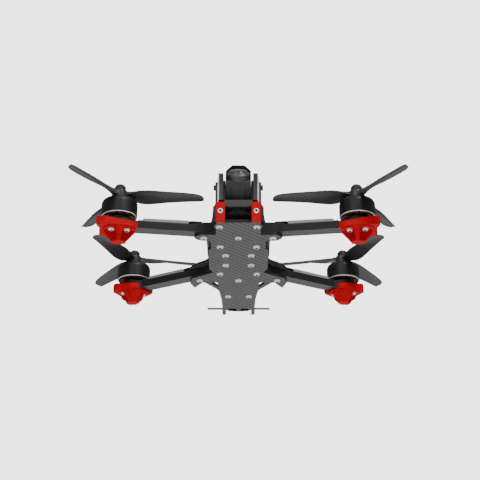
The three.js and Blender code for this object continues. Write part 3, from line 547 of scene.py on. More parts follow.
def show(mesh, node, slot, matrix=SAME, body="airframe", smooth=35):
    """Shows a mesh in place of the CAD node of that name."""
    mesh.piece(f"look_{node}", body, [node], slot, smooth, matrix)


def at(x, y, z=0.0, turn=0.0):
    return Matrix.Translation((x, y, z)) @ Matrix.Rotation(turn, 4, "Z")


def about_z(step, steps):
    """Turn about Z by a step, out of so many in a full turn."""
    return Matrix.Rotation(step * 2 * math.pi / steps, 4, "Z")


def moved(matrix, points):
    """Flat points carried by a matrix, each with its corner radius if it has one."""
    return [(*(matrix @ Vector((p[0], p[1], 0))).xy, *p[2:]) for p in points]


def both(points):
    """Each point and its mirror image, or the point alone where it lies on the middle line."""
    result = []
    for x, y in points:
        result.append((x, y))
        if x:
            result.append((-x, y))
    return result


def mirror_image(corners):
    return [(-c[0], *c[1:]) for c in reversed(corners)]


def window_pair(corners):
    """An opening and its mirror image."""
    return [rounded(corners), rounded(mirror_image(corners))]


def bolt_holes(points, radius=1.6):
    return [ring(x, y, radius) for x, y in points]


def button_head(mesh, matrix, radius=2.75, height=1.7, socket=1.15):
    """Domed screw head standing on z = 0 and pointing up, with a six-sided socket."""
    rim, steps, sweep = 0.2, 6, math.radians(62)
    dome = [(0, 0), (radius, 0), (radius, rim)]
    for k in range(1, steps + 1):
        angle = k / steps * sweep
        inward = 0.42 * (1 - math.cos(angle)) / (1 - math.cos(sweep))
        dome.append((radius * (1 - inward), rim + (height - rim) * math.sin(angle) / math.sin(sweep)))
    dome.append((socket * 1.02, height))
    mesh.add(*lathe(dome, 24), STEEL, matrix)
    mouth = [(x, y, height + 0.001) for x, y in ring(0, 0, socket, 6)]
    floor = [(x, y, height - 1.1) for x, y in ring(0, 0, socket * 0.97, 6)]
    faces = [[i + 6, (i + 1) % 6 + 6, (i + 1) % 6, i] for i in range(6)]
    faces.append([6, 7, 8, 9, 10, 11])
    mesh.add(mouth + floor, faces, BLACK_METAL, matrix)


# ---- Frame plates, their screws and the standoffs ----

STACK_BOLTS = [(10, -20.75), (10, -0.75)]
FRONT_ROOT_BOLT = (13.9, -37.8)
REAR_ROOT_BOLT = (14.7, 17.8)
EAR_BOLTS = [FRONT_EAR, REAR_EAR]
NOSE_BOLT = (13.8, -75.4)
TAIL_BOLT = (8.7, 68.3)
CENTRE_BOLTS = [(0, -54.6), (0, 32.1)]
COLUMN_BOLTS = [FRONT_ROOT_BOLT, REAR_ROOT_BOLT, TAIL_BOLT]
MID_BOLTS = both(STACK_BOLTS + [FRONT_ROOT_BOLT, REAR_ROOT_BOLT] + EAR_BOLTS + CENTRE_BOLTS)
BOTTOM_BOLTS = MID_BOLTS + both([NOSE_BOLT, TAIL_BOLT])


def bottom_plate():
    half = [
        (16.5, -82.7, 1), (16.5, -79), (17.9, -77.5, 1.5), (17.9, -73.3, 1.5), (16.9, -71.5),
        (16.9, -60.2, 1), (29.5, -60.2, 5), (34.2, -54.6, 4), (29.5, -48.4, 5), (21.5, -48.4, 1),
        (20.9, -46.5), (20.9, -33.5, 1), (23.2, -30.7, 1), (23.2, 8.2, 2), (20.1, 15.5, 1),
        (37.7, 28.5, 1), (39.5, 38.5, 1), (36, 49.9, 1),
        (29.1, 37.7, 1), (17, 37.5, 2), (16.4, 54.9), (14.4, 76.3), (13.9, 96.7), (14.1, 114, 0.6),
        (10.8, 114, 0.6), (10.8, 101.5, 1), (9.6, 103.8, 1), (3, 105.8, 3)]
    slot = [(2, 98.6), (8.4, 98.6), (8.4, 102.4), (2, 104)]
    holes = bolt_holes(BOTTOM_BOLTS) + window_pair(slot)
    return Mesh().add(*plate(rounded(half + mirror_image(half)), BOTTOM, ARM, holes), CARBON)


def mid_plate():
    half = [
        (15, -79.2, 1), (15, -60, 1), (28, -59.8, 4), (36.6, -58, 5), (36.6, -51, 5), (29, -47.6, 4),
        (23.4, -44, 2), (23.8, 4, 2), (24.5, 12, 3), (34, 20.5, 3), (40.5, 31, 3), (39.5, 41, 2),
        (36.5, 49.5, 2), (27, 61, 2), (17.5, 76, 2), (14, 87, 2)]
    window = [(16, 44, 1.5), (29.5, 47.5, 1.5), (24.5, 57, 1.5), (15.5, 70.5, 1.5)]
    holes = bolt_holes(MID_BOLTS) + bolt_holes(both([TAIL_BOLT]), 2.8) + window_pair(window)
    return Mesh().add(*plate(rounded(half + mirror_image(half)), MID, DECK, holes), CARBON)


def top_plate():
    half = [
        (8, -57, 2), (14.9, -52, 2), (14.9, -44, 1), (18.4, -40, 2), (19.4, -20, 3), (19.4, 22, 3),
        (17, 40, 4), (13, 62, 3), (12.6, 74.5, 3)]
    front_window = [(-6, -42, 2), (6, -42, 2), (6, -30, 2), (-6, -30, 2)]
    rear_window = [(-5.5, 40, 2), (5.5, 40, 2), (4.5, 54, 2), (-4.5, 54, 2)]
    strap_slot = [(15.6, -4, 0.6), (18.2, -4, 0.6), (18.2, 14, 0.6), (15.6, 14, 0.6)]
    holes = bolt_holes(both(COLUMN_BOLTS)) + [rounded(front_window), rounded(rear_window)]
    holes += window_pair(strap_slot)
    return Mesh().add(*plate(rounded(half + mirror_image(half)), TOP, ROOF, holes), CARBON)


def frame_screws():
    screws = Mesh()
    for x, y in BOTTOM_BOLTS:
        button_head(screws, at(x, y, BOTTOM) @ DOWN)
    for x, y in both(COLUMN_BOLTS):
        button_head(screws, at(x, y, ROOF))
    for x, y in both(EAR_BOLTS) + CENTRE_BOLTS[:1]:
        button_head(screws, at(x, y, DECK), radius=2.4, height=1.4)
    return screws


def standoff(low):
    """Ribbed column from a plate up to the top plate."""
    profile = [(1.2, low), (2.3, low), (2.5, low + 0.3), (2.5, low + 3)]
    rise = low + 3.4
    while rise < TOP - 4:
        profile += [(2.5, rise), (2.28, rise + 0.3), (2.28, rise + 0.9), (2.5, rise + 1.2)]
        rise += 1.9
    profile += [(2.5, TOP - 0.3), (2.3, TOP), (1.2, TOP)]
    return Mesh().add(*lathe(profile, 28), BLACK_METAL)


show(bottom_plate(), "bottom_plate", "carbon_fibre")
show(mid_plate(), "mid_plate", "carbon_fibre")
show(top_plate(), "top_plate", "carbon_fibre")
frame_screws().piece("frame_screws", "airframe")

for end, spot, low in zip(("front", "middle", "tail"), COLUMN_BOLTS, (DECK, DECK, ARM)):
    for side, half in SIDES:
        show(standoff(low), f"standoff_{end}_{side}", "black_anodised", half @ at(*spot))


# ---- Arms, guards, motors and propellers ----

MOTOR_BOLTS = [(5.66, 5.66), (5.66, -5.66), (-5.66, 5.66), (-5.66, -5.66)]
PAD = [
    (-12, -5.3, 1), (-6, -9.9, 4), (8.3, -9.9, 3), (11.3, -6.9, 3),
    (11.3, 6.9, 3), (8.3, 9.9, 3), (-6, 9.9, 4), (-12, 5.3, 1)]

# Each root is the outline at the frame, in two runs: before and after the pad under the motor.
FRONT_ROOT = (
    [(0.3, -59.6), (29, -59.9, 1), (36.5, -61.4, 1)],
    [(38.2, -51.1, 1), (28, -48.9, 3), (19.5, -42, 3), (19.5, -33), (8.5, -33), (8.5, -44), (0.3, -48)])
REAR_ROOT = (
    [(0.3, 26), (9, 22), (10, 11), (19.8, 11), (28, 23.5), (40.5, 31.2, 1)],
    [(35.6, 40.6, 1), (27, 38), (0.3, 38)])


def arm(aligned, root, frame_bolts):
    before, after = root
    outline = rounded(before + moved(aligned, PAD) + after)
    bolts = moved(aligned, MOTOR_BOLTS) + list(frame_bolts)
    holes = [ring(x, y, 1.6, 14) for x, y in bolts]
    return Mesh().add(*plate(outline, ARM, MID, holes, bevel=0.3), ARM_CARBON)


def guard_rim():
    """Wall round the end of the arm, lower toward the frame, as (corners, faces)."""
    outer = [
        (-13.4, 6.2), (-14, 8.8, 1.5), (-8.5, 12, 3), (3, 12), (11, 12), (11.5, 12, 1.5), (17.4, 10.4, 1),
        (16.8, 7, 1.5), (14, 2.6, 2), (14.3, -9.4, 1.5), (9.7, -12.6, 2), (3, -12.45), (-6, -12.2, 3),
        (-10, -8.4, 1.5), (-10.6, -6.4)]
    inner = [
        (-9.4, -7.4), (-6, -10.2, 4), (3, -10.2), (8.6, -10.2, 3), (11.6, -7.2, 3), (11.6, 7.2, 3),
        (8.6, 10.2, 3), (3, 10.2), (-6, 10.2, 4), (-11.3, 6.4)]
    low, high = 9.3, 16
    corners, faces = plate(rounded(outer + inner), low, high, bevel=0.35)
    sloped = []
    for x, y, z in corners:
        crest = 13.6 + 2.4 * min(max((x - 3) / 8, 0), 1)
        sloped.append((x, y, low + (z - low) * (crest - low) / (high - low)))
    return sloped, faces


def guard_ribs(guard):
    """Four ribs that spread from the foot to the floor, given as (height, reach, half width)."""
    end_rib = [(0.1, 5, 1.3), (9.2, 12.4, 2.2)]
    side_rib = [(0.1, 4.4, 1.2), (5.6, 10.4, 2.3), (9.2, 11.7, 3.2)]
    for quarter, stations in enumerate((end_rib, side_rib, end_rib, side_rib)):
        loops = []
        for z, reach, half in stations:
            corners = rounded([(0, -half), (reach, -half, 0.7), (reach, half, 0.7), (0, half)])
            loops.append([(x, y, z) for x, y in corners])
        guard.add(*loft(loops), RED, about_z(quarter, 4))


def guard_nose_wall():
    """Slanted wall on the side toward the nose, as (corners, faces)."""
    lower = [(0, 0), (-4.6, 1.2), (-4.7, -1.2), (-3.8, -3), (-3, -3.8), (-1.2, -4.5), (1.2, -4.4)]
    upper = [(0, 0), (-11.4, 1.7), (-11.5, -1.7), (-9.6, -7.4), (-5.8, -11.4), (-1.7, -12), (3, -11.9)]
    return loft([[(x, y, 0.3) for x, y in lower], [(x, y, 9.4) for x, y in upper]])


def motor_guard(outward):
    """Guard and foot in the arm's axes; outward is +1 or -1, the side of its longer corner."""
    flip = Matrix.Diagonal((1, outward, 1, 1))
    guard = Mesh()
    guard.add(*guard_rim(), RED, flip)
    shanks = [ring(x, y * outward, 1.6, 20) for x, y in MOTOR_BOLTS]
    shelf = [
        (-13.6, 8.6, 1.5), (-8.5, 11.8, 3), (11.5, 11.8, 1.5), (13.4, 11), (13.4, -9.5, 1.5), (9.4, -12.4, 2),
        (-6, -12, 3), (-9.8, -8.4, 1.5)]
    guard.add(*plate(rounded(shelf), 9.32, 10.2, shanks, bevel=0.1), RED, flip)
    floor = [
        (-9, -8), (-5, -11, 3), (8.5, -11, 3), (12.4, -5.5, 2), (12.4, 5.5, 2), (8.5, 11, 3), (-7, 11, 3),
        (-12, 7)]
    guard.add(*plate(rounded(floor), 8.4, 9.6, shanks, bevel=0.3), RED, flip)
    guard_ribs(guard)
    is_rear = outward > 0
    if is_rear:
        guard.add(*guard_nose_wall(), RED)
    foot = [
        (-5.4, -2.2, 0.6), (0, -4.6, 1.6), (5.4, -2.2, 0.6), (5.4, 2.2, 0.6), (0, 4.6, 1.6), (-5.4, 2.2, 0.6)]
    guard.add(*plate(rounded(foot), 0, 1.6, bevel=0.3), RED)
    guard.add(*lathe([(0, 0.1), (3.4, 0.1), (4.2, 8.8), (0, 8.8)], 24), RED)
    return guard


def motor_screws(aligned, bolts):
    screws = Mesh()
    for x, y in bolts:
        button_head(screws, aligned @ at(x, y, 8.45) @ DOWN, radius=2.5, height=1.6, socket=1.0)
    return screws


def stator_coil():
    """One tooth's winding, wider and narrower along the tooth, as (corners, faces)."""
    low, high = 20.7, 30.7
    loops = []
    for r, half in ((5.3, 0.9), (5.7, 1.35), (7.5, 1.75), (9.6, 2.3), (10.2, 2.2), (10.4, 1.7)):
        section = [
            (half, low), (half * 0.8, low - 0.6), (half * 0.3, low - 0.8), (-half * 0.3, low - 0.8),
            (-half * 0.8, low - 0.6), (-half, low), (-half, high), (-half * 0.8, high + 0.5),
            (half * 0.8, high + 0.5), (half, high)]
        loops.append([(r, y, z) for y, z in section])
    return loft(loops)


def stator():
    unit = Mesh()
    base = [
        (2.3, MID), (9.4, MID), (9.8, MID + 0.3), (9.8, MID + 1.2), (8.8, MID + 2.2), (5.2, MID + 2.8),
        (4.6, 19.6), (4.6, 31.1), (4.3, 31.3), (2.3, 31.3)]
    unit.add(*lathe(base, 48, closed=True), BELL_METAL)
    head = [polar(10.4, a) for a in (-0.16, -0.05, 0.05, 0.16)]
    head += [polar(11.75, a) for a in (0.21, 0.1, 0, -0.1, -0.21)]
    teeth = 12
    for tooth in range(teeth):
        turn = about_z(tooth, teeth)
        unit.add(*box((4, 10.6), (-0.7, 0.7), (21, 30.4), bevel=0.1), LAMINATION, turn)
        unit.add(*plate(head, 21, 30.4, bevel=0.06, resolution=1), LAMINATION, turn)
        unit.add(*stator_coil(), COPPER, turn)
    return unit


def bell_crown(unit):
    """Rounded shoulder and the windowed top of the bell."""
    shoulder = [(13.35, 20.6), (13.5, 20.9), (13.6, 21.6), (13.6, 29.6)]
    steps = 8
    for k in range(1, steps + 1):
        angle = k / steps * math.pi / 2
        shoulder.append((10.2 + 3.4 * math.cos(angle), 29.6 + 4.35 * math.sin(angle)))
    shoulder += [(10.1, 33.95), (10.1, 31.95), (12.5, 31.2)]
    unit.add(*lathe(shoulder, 72), BELL_METAL)
    window = rounded([(6.6, -1.6, 0.6), (9.7, -3.2, 0.8), (9.7, 3.2, 0.8), (6.6, 1.6, 0.6)])
    windows = [moved(about_z(k, 6), window) for k in range(6)]
    unit.add(*plate(ring(0, 0, 10.25, 72), 31.95, 33.95, windows, bevel=0.15), BELL_METAL)
    unit.add(*lathe([(5.9, 33.9), (5.9, 34.45), (5.75, 34.6), (2.5, 34.6)], 48), BELL_METAL)


def motor_shaft(unit):
    unit.add(*lathe([(0, 17.1), (1.7, 17.1), (2, 17.4), (2, 34.6)], 24), STEEL)
    thread = [(2.45, 34.6), (2.45, 42)]
    rise = 42
    while rise < 46.6:
        thread += [(2.45, rise), (2.18, rise + 0.25), (2.45, rise + 0.5)]
        rise += 0.5
    thread += [(2.0, 47.2), (0, 47.2)]
    unit.add(*lathe(thread, 28), STEEL)


def bell():
    unit = Mesh()
    unit.add(*lathe([(12.5, 31.2), (12.5, 20.5), (12.7, 20)], 72), MAGNET)
    unit.add(*lathe([(12.7, 20), (13.05, 20), (13.3, 20.25), (13.35, 20.6)], 72), SILVER)
    bell_crown(unit)
    magnet = [polar(12.48, a) for a in (-0.19, -0.1, 0, 0.1, 0.19)]
    magnet += [polar(12.02, a) for a in (0.19, 0.1, 0, -0.1, -0.19)]
    magnets = 14
    for k in range(magnets):
        unit.add(*plate(magnet, 21, 30.6, bevel=0.08, resolution=1), MAGNET, about_z(k, magnets))
    motor_shaft(unit)
    return unit


# Stations along a blade: radius, chord, distance of the leading edge ahead of the radial line, pitch in
# degrees, thickness and droop.
BLADE = [
    (4, 6.8, 3.2, 30, 5.5, 0), (9, 7.6, 3.4, 32, 3.9, 0), (15, 11.4, 4.6, 33, 2.7, 0),
    (23, 13.1, 5.4, 26.3, 2.2, 0.2), (34, 12.5, 5.6, 18, 1.8, 0.6), (47, 11.2, 5.5, 13.5, 1.56, 1.1),
    (57, 9.6, 4.7, 11, 1.3, 1.5), (61.5, 7.2, 2.6, 10, 1.17, 1.6), (63.35, 3.5, -0.3, 10, 0.9, 1.6)]
BLADE_RADII = [
    4, 5.5, 7, 9, 11, 13, 15, 17.5, 20, 23, 27, 31, 35, 39, 43, 47, 51, 54.5, 57, 59, 60.6, 61.8, 62.7, 63.35]

# The blade's section: how far back along the chord, and how high as a part of the thickness.
BLADE_TOP = [
    (0, 0.0), (0.02, 0.42), (0.08, 0.75), (0.2, 0.98), (0.38, 1.0), (0.58, 0.8), (0.78, 0.5), (0.92, 0.28),
    (1, 0.12)]
BLADE_UNDER = [
    (1, -0.06), (0.9, -0.02), (0.7, 0.05), (0.45, 0.05), (0.2, -0.12), (0.06, -0.25), (0.015, -0.16)]


def blade_station(r):
    """Chord, lead, pitch, thickness and droop at a radius, smoothly between the given stations."""
    i = max(k for k in range(len(BLADE) - 1) if BLADE[k][0] <= r or k == 0)
    a, b = BLADE[i], BLADE[i + 1]
    before, after = BLADE[max(i - 1, 0)], BLADE[min(i + 2, len(BLADE) - 1)]
    span = b[0] - a[0]
    t = (r - a[0]) / span
    values = []
    for k in range(1, 6):
        slope_in = (b[k] - before[k]) / (b[0] - before[0]) * span
        slope_out = (after[k] - a[k]) / (after[0] - a[0]) * span
        values.append(
            (2 * t ** 3 - 3 * t ** 2 + 1) * a[k] + (t ** 3 - 2 * t ** 2 + t) * slope_in
            + (-2 * t ** 3 + 3 * t ** 2) * b[k] + (t ** 3 - t ** 2) * slope_out)
    return values


def blade_loop(r, spin):
    """Section of the blade at a radius, leading toward +Y when spin is +1 and toward -Y when it is -1."""
    chord, lead, pitch, thick, droop = blade_station(r)
    tilt = math.radians(pitch)
    loop = []
    for part, lift in BLADE_TOP + BLADE_UNDER:
        forward = lead - part * chord
        above = (lift - 0.3) * thick * 0.8 + math.sin(math.pi * part) * chord * 0.05
        y = forward * math.cos(tilt) - above * math.sin(tilt)
        z = forward * math.sin(tilt) + above * math.cos(tilt)
        loop.append((r, spin * y, 38.4 + z - droop))
    return loop if spin > 0 else loop[::-1]


def propeller(spin, rest):
    """Three blades and a hub; at rest one blade points along the rest angle."""
    unit = Mesh()
    blade = loft([blade_loop(r, spin) for r in BLADE_RADII])
    for k in range(3):
        unit.add(*blade, PROP, at(0, 0, 0, math.radians(rest)) @ about_z(k, 3))
    hub = [
        (2.75, 34.65), (5.2, 34.65), (5.9, 34.95), (6.15, 35.6), (6.15, 40.5), (5.95, 41.1), (5.4, 41.5),
        (4.6, 41.6), (2.75, 41.6)]
    unit.add(*lathe(hub, 48, closed=True), PROP)
    return unit


def prop_nut():
    unit = Mesh()
    bore, low = 2.75, 41.7
    flange = [
        (bore, low), (4.5, low), (4.8, low + 0.25), (4.8, low + 0.9), (4.4, low + 1.25), (bore, low + 1.25)]
    unit.add(*lathe(flange, 36, closed=True), BLACK_METAL)
    hexagon = rounded([(x, y, 0.5) for x, y in ring(0, 0, 4.5, 6)], 3)
    unit.add(*plate(hexagon, low + 1.0, low + 3.9, [ring(0, 0, bore, 24)], bevel=0.35), BLACK_METAL)
    collar = [
        (bore, low + 3.6), (3.65, low + 3.6), (3.6, low + 4.3), (3.3, low + 4.75), (2.9, low + 4.9),
        (bore, low + 4.9)]
    unit.add(*lathe(collar, 36, closed=True), BLACK_PLASTIC)
    return unit


def wire_cover(outer_end):
    """Cover on top of an arm, in the arm's axes, with three wires leaving each end."""
    unit = Mesh()
    low = MID + 0.3
    inner_end = outer_end - 34.6
    outline = rounded([
        (inner_end, -4, 1.2), (outer_end, -3.2, 1.6), (outer_end, 3.2, 1.6), (inner_end, 4, 1.2)])
    unit.add(*plate(outline, low, low + 3, bevel=0.5), GREY_PLASTIC)
    for y in (-1.75, 0, 1.75):
        to_motor = [(outer_end - 1.5, y, low + 1), (outer_end + 3.6, y, low + 1)]
        unit.add(*tube(to_motor, 0.78), WIRE_BLACK)
        to_frame = [
            (inner_end + 1.5, y, low + 2.1), (inner_end - 2, y, DECK + 1.2),
            (inner_end - 9.8, y, DECK + 1.15)]
        unit.add(*tube(curve_through(to_frame), 0.72), WIRE_BLACK)
    return unit


def build_arms(end, motor, ear, root, root_bolt, outward, spin, rest, cover_end):
    """Shows the left and right arm at one end of the frame, with all that they carry."""
    along = math.atan2(motor[1] - ear[1], motor[0] - ear[0])
    aligned = at(*motor, 0, along)
    station = at(*motor)
    fixed = (
        ("arm", "arm", "carbon_fibre", arm(aligned, root, (root_bolt, ear)), SAME),
        ("guard", "motor_guard", "red_rubber", motor_guard(outward), aligned),
        ("cover", "wire_cover", "grey_plastic", wire_cover(cover_end), aligned),
        ("stator", "motor_stator", "copper_windings", stator(), aligned))
    turning = (
        ("bell", "motor_bell", "black_anodised", bell(), 35),
        ("propeller", "propeller", "propeller_plastic", propeller(spin, rest), 50),
        ("nut", "prop_nut", "black_anodised", prop_nut(), 35))
    open_bolts = MOTOR_BOLTS[:3] if outward > 0 else MOTOR_BOLTS
    screws = motor_screws(aligned, open_bolts)
    for side, half in SIDES:
        corner = f"{end}_{side}"
        for look, node, slot, mesh, place in fixed:
            mesh.piece(f"look_{look}_{corner}", "airframe", [f"{node}_{corner}"], slot, matrix=half @ place)
        screws.piece(f"motor_screws_{corner}", "airframe", matrix=half)
        for look, node, slot, mesh, smooth in turning:
            mesh.piece(
                f"look_{look}_{corner}", f"rotor_{corner}", [f"{node}_{corner}"], slot, smooth,
                matrix=half @ station)


build_arms(
    "front", FRONT_MOTOR, FRONT_EAR, FRONT_ROOT, FRONT_ROOT_BOLT, outward=-1, spin=1, rest=180.0,
    cover_end=-17.8)
build_arms(
    "rear", REAR_MOTOR, REAR_EAR, REAR_ROOT, REAR_ROOT_BOLT, outward=1, spin=-1, rest=174.5,
    cover_end=-16.0)


# ---- Nose: cradle, cage plates and bumpers ----

NOSE = -83.2
PIVOT_HOLE = ring(CAMERA_PIVOT[1], CAMERA_PIVOT[2], 1.7, 20)
NOSE_EDGE = [(NOSE, 38.6), (NOSE - 3.8, 45.4, 0.8), (NOSE - 2.6, 47, 0.8)]


def camera_cradle():
    cradle = Mesh()
    wall_outline = rounded([(NOSE, DECK)] + NOSE_EDGE + [(-70, 47, 2), (-60, 38, 2), (-60, DECK)])
    wall = plate(wall_outline, 11, 14.25, [PIVOT_HOLE], bevel=0.3)
    cheek_outline = rounded([(-80, 20), (-81, 43.4, 1.5), (-66, 43.4, 3), (-62, 30, 2), (-62, 20)])
    cheek = plate(cheek_outline, 9.62, 11.05, [PIVOT_HOLE], bevel=0.2)
    for _, half in SIDES:
        cradle.add(*wall, CRADLE_PLASTIC, half @ ALONG_X)
        cradle.add(*cheek, HOOD_PLASTIC, half @ ALONG_X)
        cradle.add(*box((10, 15), (NOSE, -79.5), (ARM, 26.2), 0.3), CRADLE_PLASTIC, half)
    cradle.add(*box((-14.8, 14.8), (NOSE, -76), (20.6, 26.2), 0.35), CRADLE_PLASTIC)
    return cradle


def leaned(corners):
    """Leans a plate's outer face in above the pivot's height."""
    result = []
    for x, y, z in corners:
        over = min(max((z - 41) / 6, 0), 1)
        result.append((x - (x - 14.25) * 0.8 * over, y, z))
    return result


def cage_plate():
    """Bright plate, black on its outer face, with a thicker black skin below the pivot."""
    cage = Mesh()
    outline = rounded(
        [(NOSE, ARM)] + NOSE_EDGE
        + [(-69, 47, 2), (-62, 43.6, 2), (-45.5, 43.6, 1), (-45.5, 37, 2), (-55.5, 30, 3),
           (-55.5, DECK + 0.3), (-61, DECK + 0.3), (-61, ARM)])
    for low, high, bevel, material in ((14.25, 15.4, 0.12, SILVER), (15.3, 15.56, 0.05, BLACK_METAL)):
        corners, faces = plate(outline, low, high, [PIVOT_HOLE], bevel)
        upright = [tuple(ALONG_X @ Vector(c)) for c in corners]
        cage.add(leaned(upright), faces, material)
    skin = rounded([
        (NOSE, ARM), (NOSE, 38.6), (NOSE - 0.9, 40.2), (-62, 41.5, 2), (-56, 38, 2), (-56, DECK + 0.5),
        (-61, DECK + 0.5), (-61, ARM)])
    cage.add(*plate(skin, 15.4, 17, [PIVOT_HOLE], bevel=0.15), BLACK_METAL, ALONG_X)
    return cage


def nose_bumper():
    bumper = Mesh()
    outline = rounded([(9.7, 7.6, 0.6), (16.7, 7.6, 0.6), (16.7, 23.3, 0.6), (9.7, 23.3, 0.6)])
    bumper.add(*plate(outline, 83.5, 86.4, [ring(13.2, 15.7, 1.7)], bevel=0.35), RED, NOSEWARD)
    button_head(bumper, at(13.2, -86.4, 15.7) @ TO_NOSE, radius=2.1, height=1.3, socket=0.9)
    return bumper


show(camera_cradle(), "camera_cradle", "black_plastic")
for side, half in SIDES:
    show(cage_plate(), f"cage_plate_{side}", "black_anodised", half)
    show(nose_bumper(), f"nose_bumper_{side}", "red_rubber", half)


# ---- Camera, drawn about its pivot as if it looked straight ahead ----

def camera_body():
    camera = Mesh()
    shell = rounded([(-7.4, -9.5, 0.8), (10, -9.5, 1.5), (10, 9.5, 1.5), (-7.4, 9.5)])
    camera.add(*plate(shell, -9.5, 9.5, bevel=0.4), CRADLE_PLASTIC, ALONG_X)
    hood_half = [(-9.5, -5), (-9.5, -10.8, 0.6), (-4.8, -15.2, 1)]
    hood = rounded(hood_half + mirror_image(hood_half))
    camera.add(*plate(hood, 8.5, 9.5, bevel=0.3), HOOD_PLASTIC)
    for _, half in SIDES:
        camera.add(*box((8.9, 9.5), (-10.7, -5), (-2.5, 9), 0.2), HOOD_PLASTIC, half)
        camera.add(*box((5.0, 6.0), (-2.5, 8.5), (-9.7, -9.3), 0.05), HOOD_PLASTIC, half)
    camera.add(*box((-4.2, 4.2), (-4.6, 8.2), (-9.66, -9.2), 0.15), CRADLE_PLASTIC)
    return camera


def camera_lens():
    lens = Mesh()
    barrel = [
        (0, 5), (8.75, 5), (8.75, 8.6), (8.55, 8.8), (8.55, 9.1), (8.75, 9.3), (8.75, 10.6), (8.4, 11.1),
        (7.0, 12.4), (6.8, 12.9), (6.5, 13.2), (6.0, 13.2), (5.7, 12.9)]
    lens.add(*lathe(barrel, 56), BARREL, NOSEWARD)
    rim, low, rise, steps = 5.7, 12.9, 1.35, 8
    angles = [k / steps * math.pi / 2 for k in range(steps)]
    dome = [(rim * math.cos(a), low + rise * math.sin(a)) for a in angles]
    lens.add(*lathe(dome + [(0, low + rise)], 56), GLASS, NOSEWARD)
    return lens


def camera_screw():
    profile = [
        (0, 9.8), (1.3, 9.8), (1.3, 16.5), (2.1, 16.5), (2.2, 18.0), (1.9, 18.5), (1.0, 18.6), (0.95, 17.7),
        (0, 17.7)]
    return Mesh().add(*lathe(profile, 28), BLACK_METAL, TO_LEFT)


TILTED = Matrix.Translation(CAMERA_PIVOT) @ Matrix.Rotation(-CAMERA_TILT, 4, "X")
show(camera_body(), "camera_body", "black_plastic", TILTED, "camera")
show(camera_lens(), "camera_lens", "lens_glass", TILTED, "camera")
for side, half in SIDES:
    show(camera_screw(), f"camera_screw_{side}", "black_anodised", half @ TILTED, "camera")


# ---- Side panels ----

def side_panel():
    """Thin wall that leans in at its front end, from (place, lower edge, upper edge, height) stations."""
    panel = Mesh()
    loops = []
    for y, low, high, top in (
            (-60.4, 19.5, 19.2, 30.5), (-59, 19.5, 19.2, 32.2), (-57.5, 19.6, 19.2, 33),
            (-52, 20.3, 19.25, 33), (-46, 21.5, 19.4, 33), (-38, 23.2, 19.6, 34.6), (-30, 24.6, 19.8, 36),
            (-13, 24.6, 19.8, 36), (4, 24.6, 19.8, 36), (7, 24.5, 19.7, 35.4), (9.5, 24.2, 19.6, 34)):
        mid_x, mid_z = (low + high) / 2, (DECK + top) / 2
        loops.append([
            (low - 0.2, y, DECK), (low, y, DECK + 0.3), (mid_x, y, mid_z), (high, y, top - 0.3),
            (high - 0.25, y, top), (high - 1.55, y, top), (high - 1.8, y, top - 0.3), (mid_x - 1.8, y, mid_z),
            (low - 1.8, y, DECK)])
    panel.add(*loft(loops), PANEL_PLASTIC)
    for y in (-40, -24, -8):
        panel.add(*box((21.5, 22.9), (y - 4, y + 4), (24.6, 25.2), 0.1), BLACK_PLASTIC)
    return panel


for side, half in SIDES:
    show(side_panel(), f"side_panel_{side}", "black_plastic", half, smooth=45)


# ---- Electronics between the plates ----

STACK_MIDDLE = -10.75


def board(half, low, legs_from, chips):
    """Square board on four grommets. Each chip is (x, y from the middle, width, depth, height)."""
    unit = Mesh()
    middle, high = STACK_MIDDLE, low + 1.6
    front, back = middle - half, middle + half
    outline = rounded([(-half, front, 3), (half, front, 3), (half, back, 3), (-half, back, 3)])
    bolts = both(STACK_BOLTS)
    unit.add(*plate(outline, low, high, bolt_holes(bolts, 1.8), bevel=0.08), BOARD)
    grommet = [
        (1.3, legs_from), (2.4, legs_from), (2.4, low), (1.9, low + 0.2), (1.9, low + 1.4), (2.4, high),
        (2.4, low + 2.4), (2.1, low + 2.6), (1.3, low + 2.6)]
    for x, y in bolts:
        unit.add(*lathe(grommet, 24, closed=True), RUBBER, at(x, y))
    for x, ahead, wide, deep, height in chips:
        y = middle + ahead
        chip = box((x - wide / 2, x + wide / 2), (y - deep / 2, y + deep / 2), (low + 1, high + height), 0.12)
        unit.add(*chip, CHIP)
    for k in range(14):
        x = -half + 3 + k * (2 * half - 6) / 13
        for y in (front + 1.2, back - 1.2):
            clear_of_grommets = abs(abs(x) - 10) > 3.4 or abs(abs(y - middle) - 10) > 3.4
            if clear_of_grommets:
                unit.add(*box((x - 0.45, x + 0.45), (y - 0.6, y + 0.6), (low + 1.5, low + 1.85), 0.08), STEEL)
    return unit


BUTTON_PLACE = at(8, 50, 26.5) @ TO_TAIL


def video_unit():
    """Finned metal case on four feet, with a ring round its button."""
    unit = Mesh()
    unit.add(*box((-14, 14), (21.5, 50), (20.5, 32), 0.5), BLACK_METAL)
    for x in (-10, -5, 0, 5, 10):
        unit.add(*box((x - 0.9, x + 0.9), (23.5, 48), (31, 33.6), 0.25), BLACK_METAL)
    for x, y in both([(11, 24.9), (11, 46.6)]):
        unit.add(*lathe([(0, DECK), (2, DECK), (2, 21.5), (0, 21.5)], 20), BLACK_METAL, at(x, y))
    unit.add(*lathe([(1.5, 0), (2.3, 0), (2.3, 0.25), (1.5, 0.25)], 24, closed=True), STEEL, BUTTON_PLACE)
    return unit


def link_button():
    profile = [(0, -1.6), (1.4, -1.6), (1.4, 0.5), (1.2, 0.7), (0, 0.7)]
    return Mesh().add(*lathe(profile, 24), GREY_PLASTIC, BUTTON_PLACE)


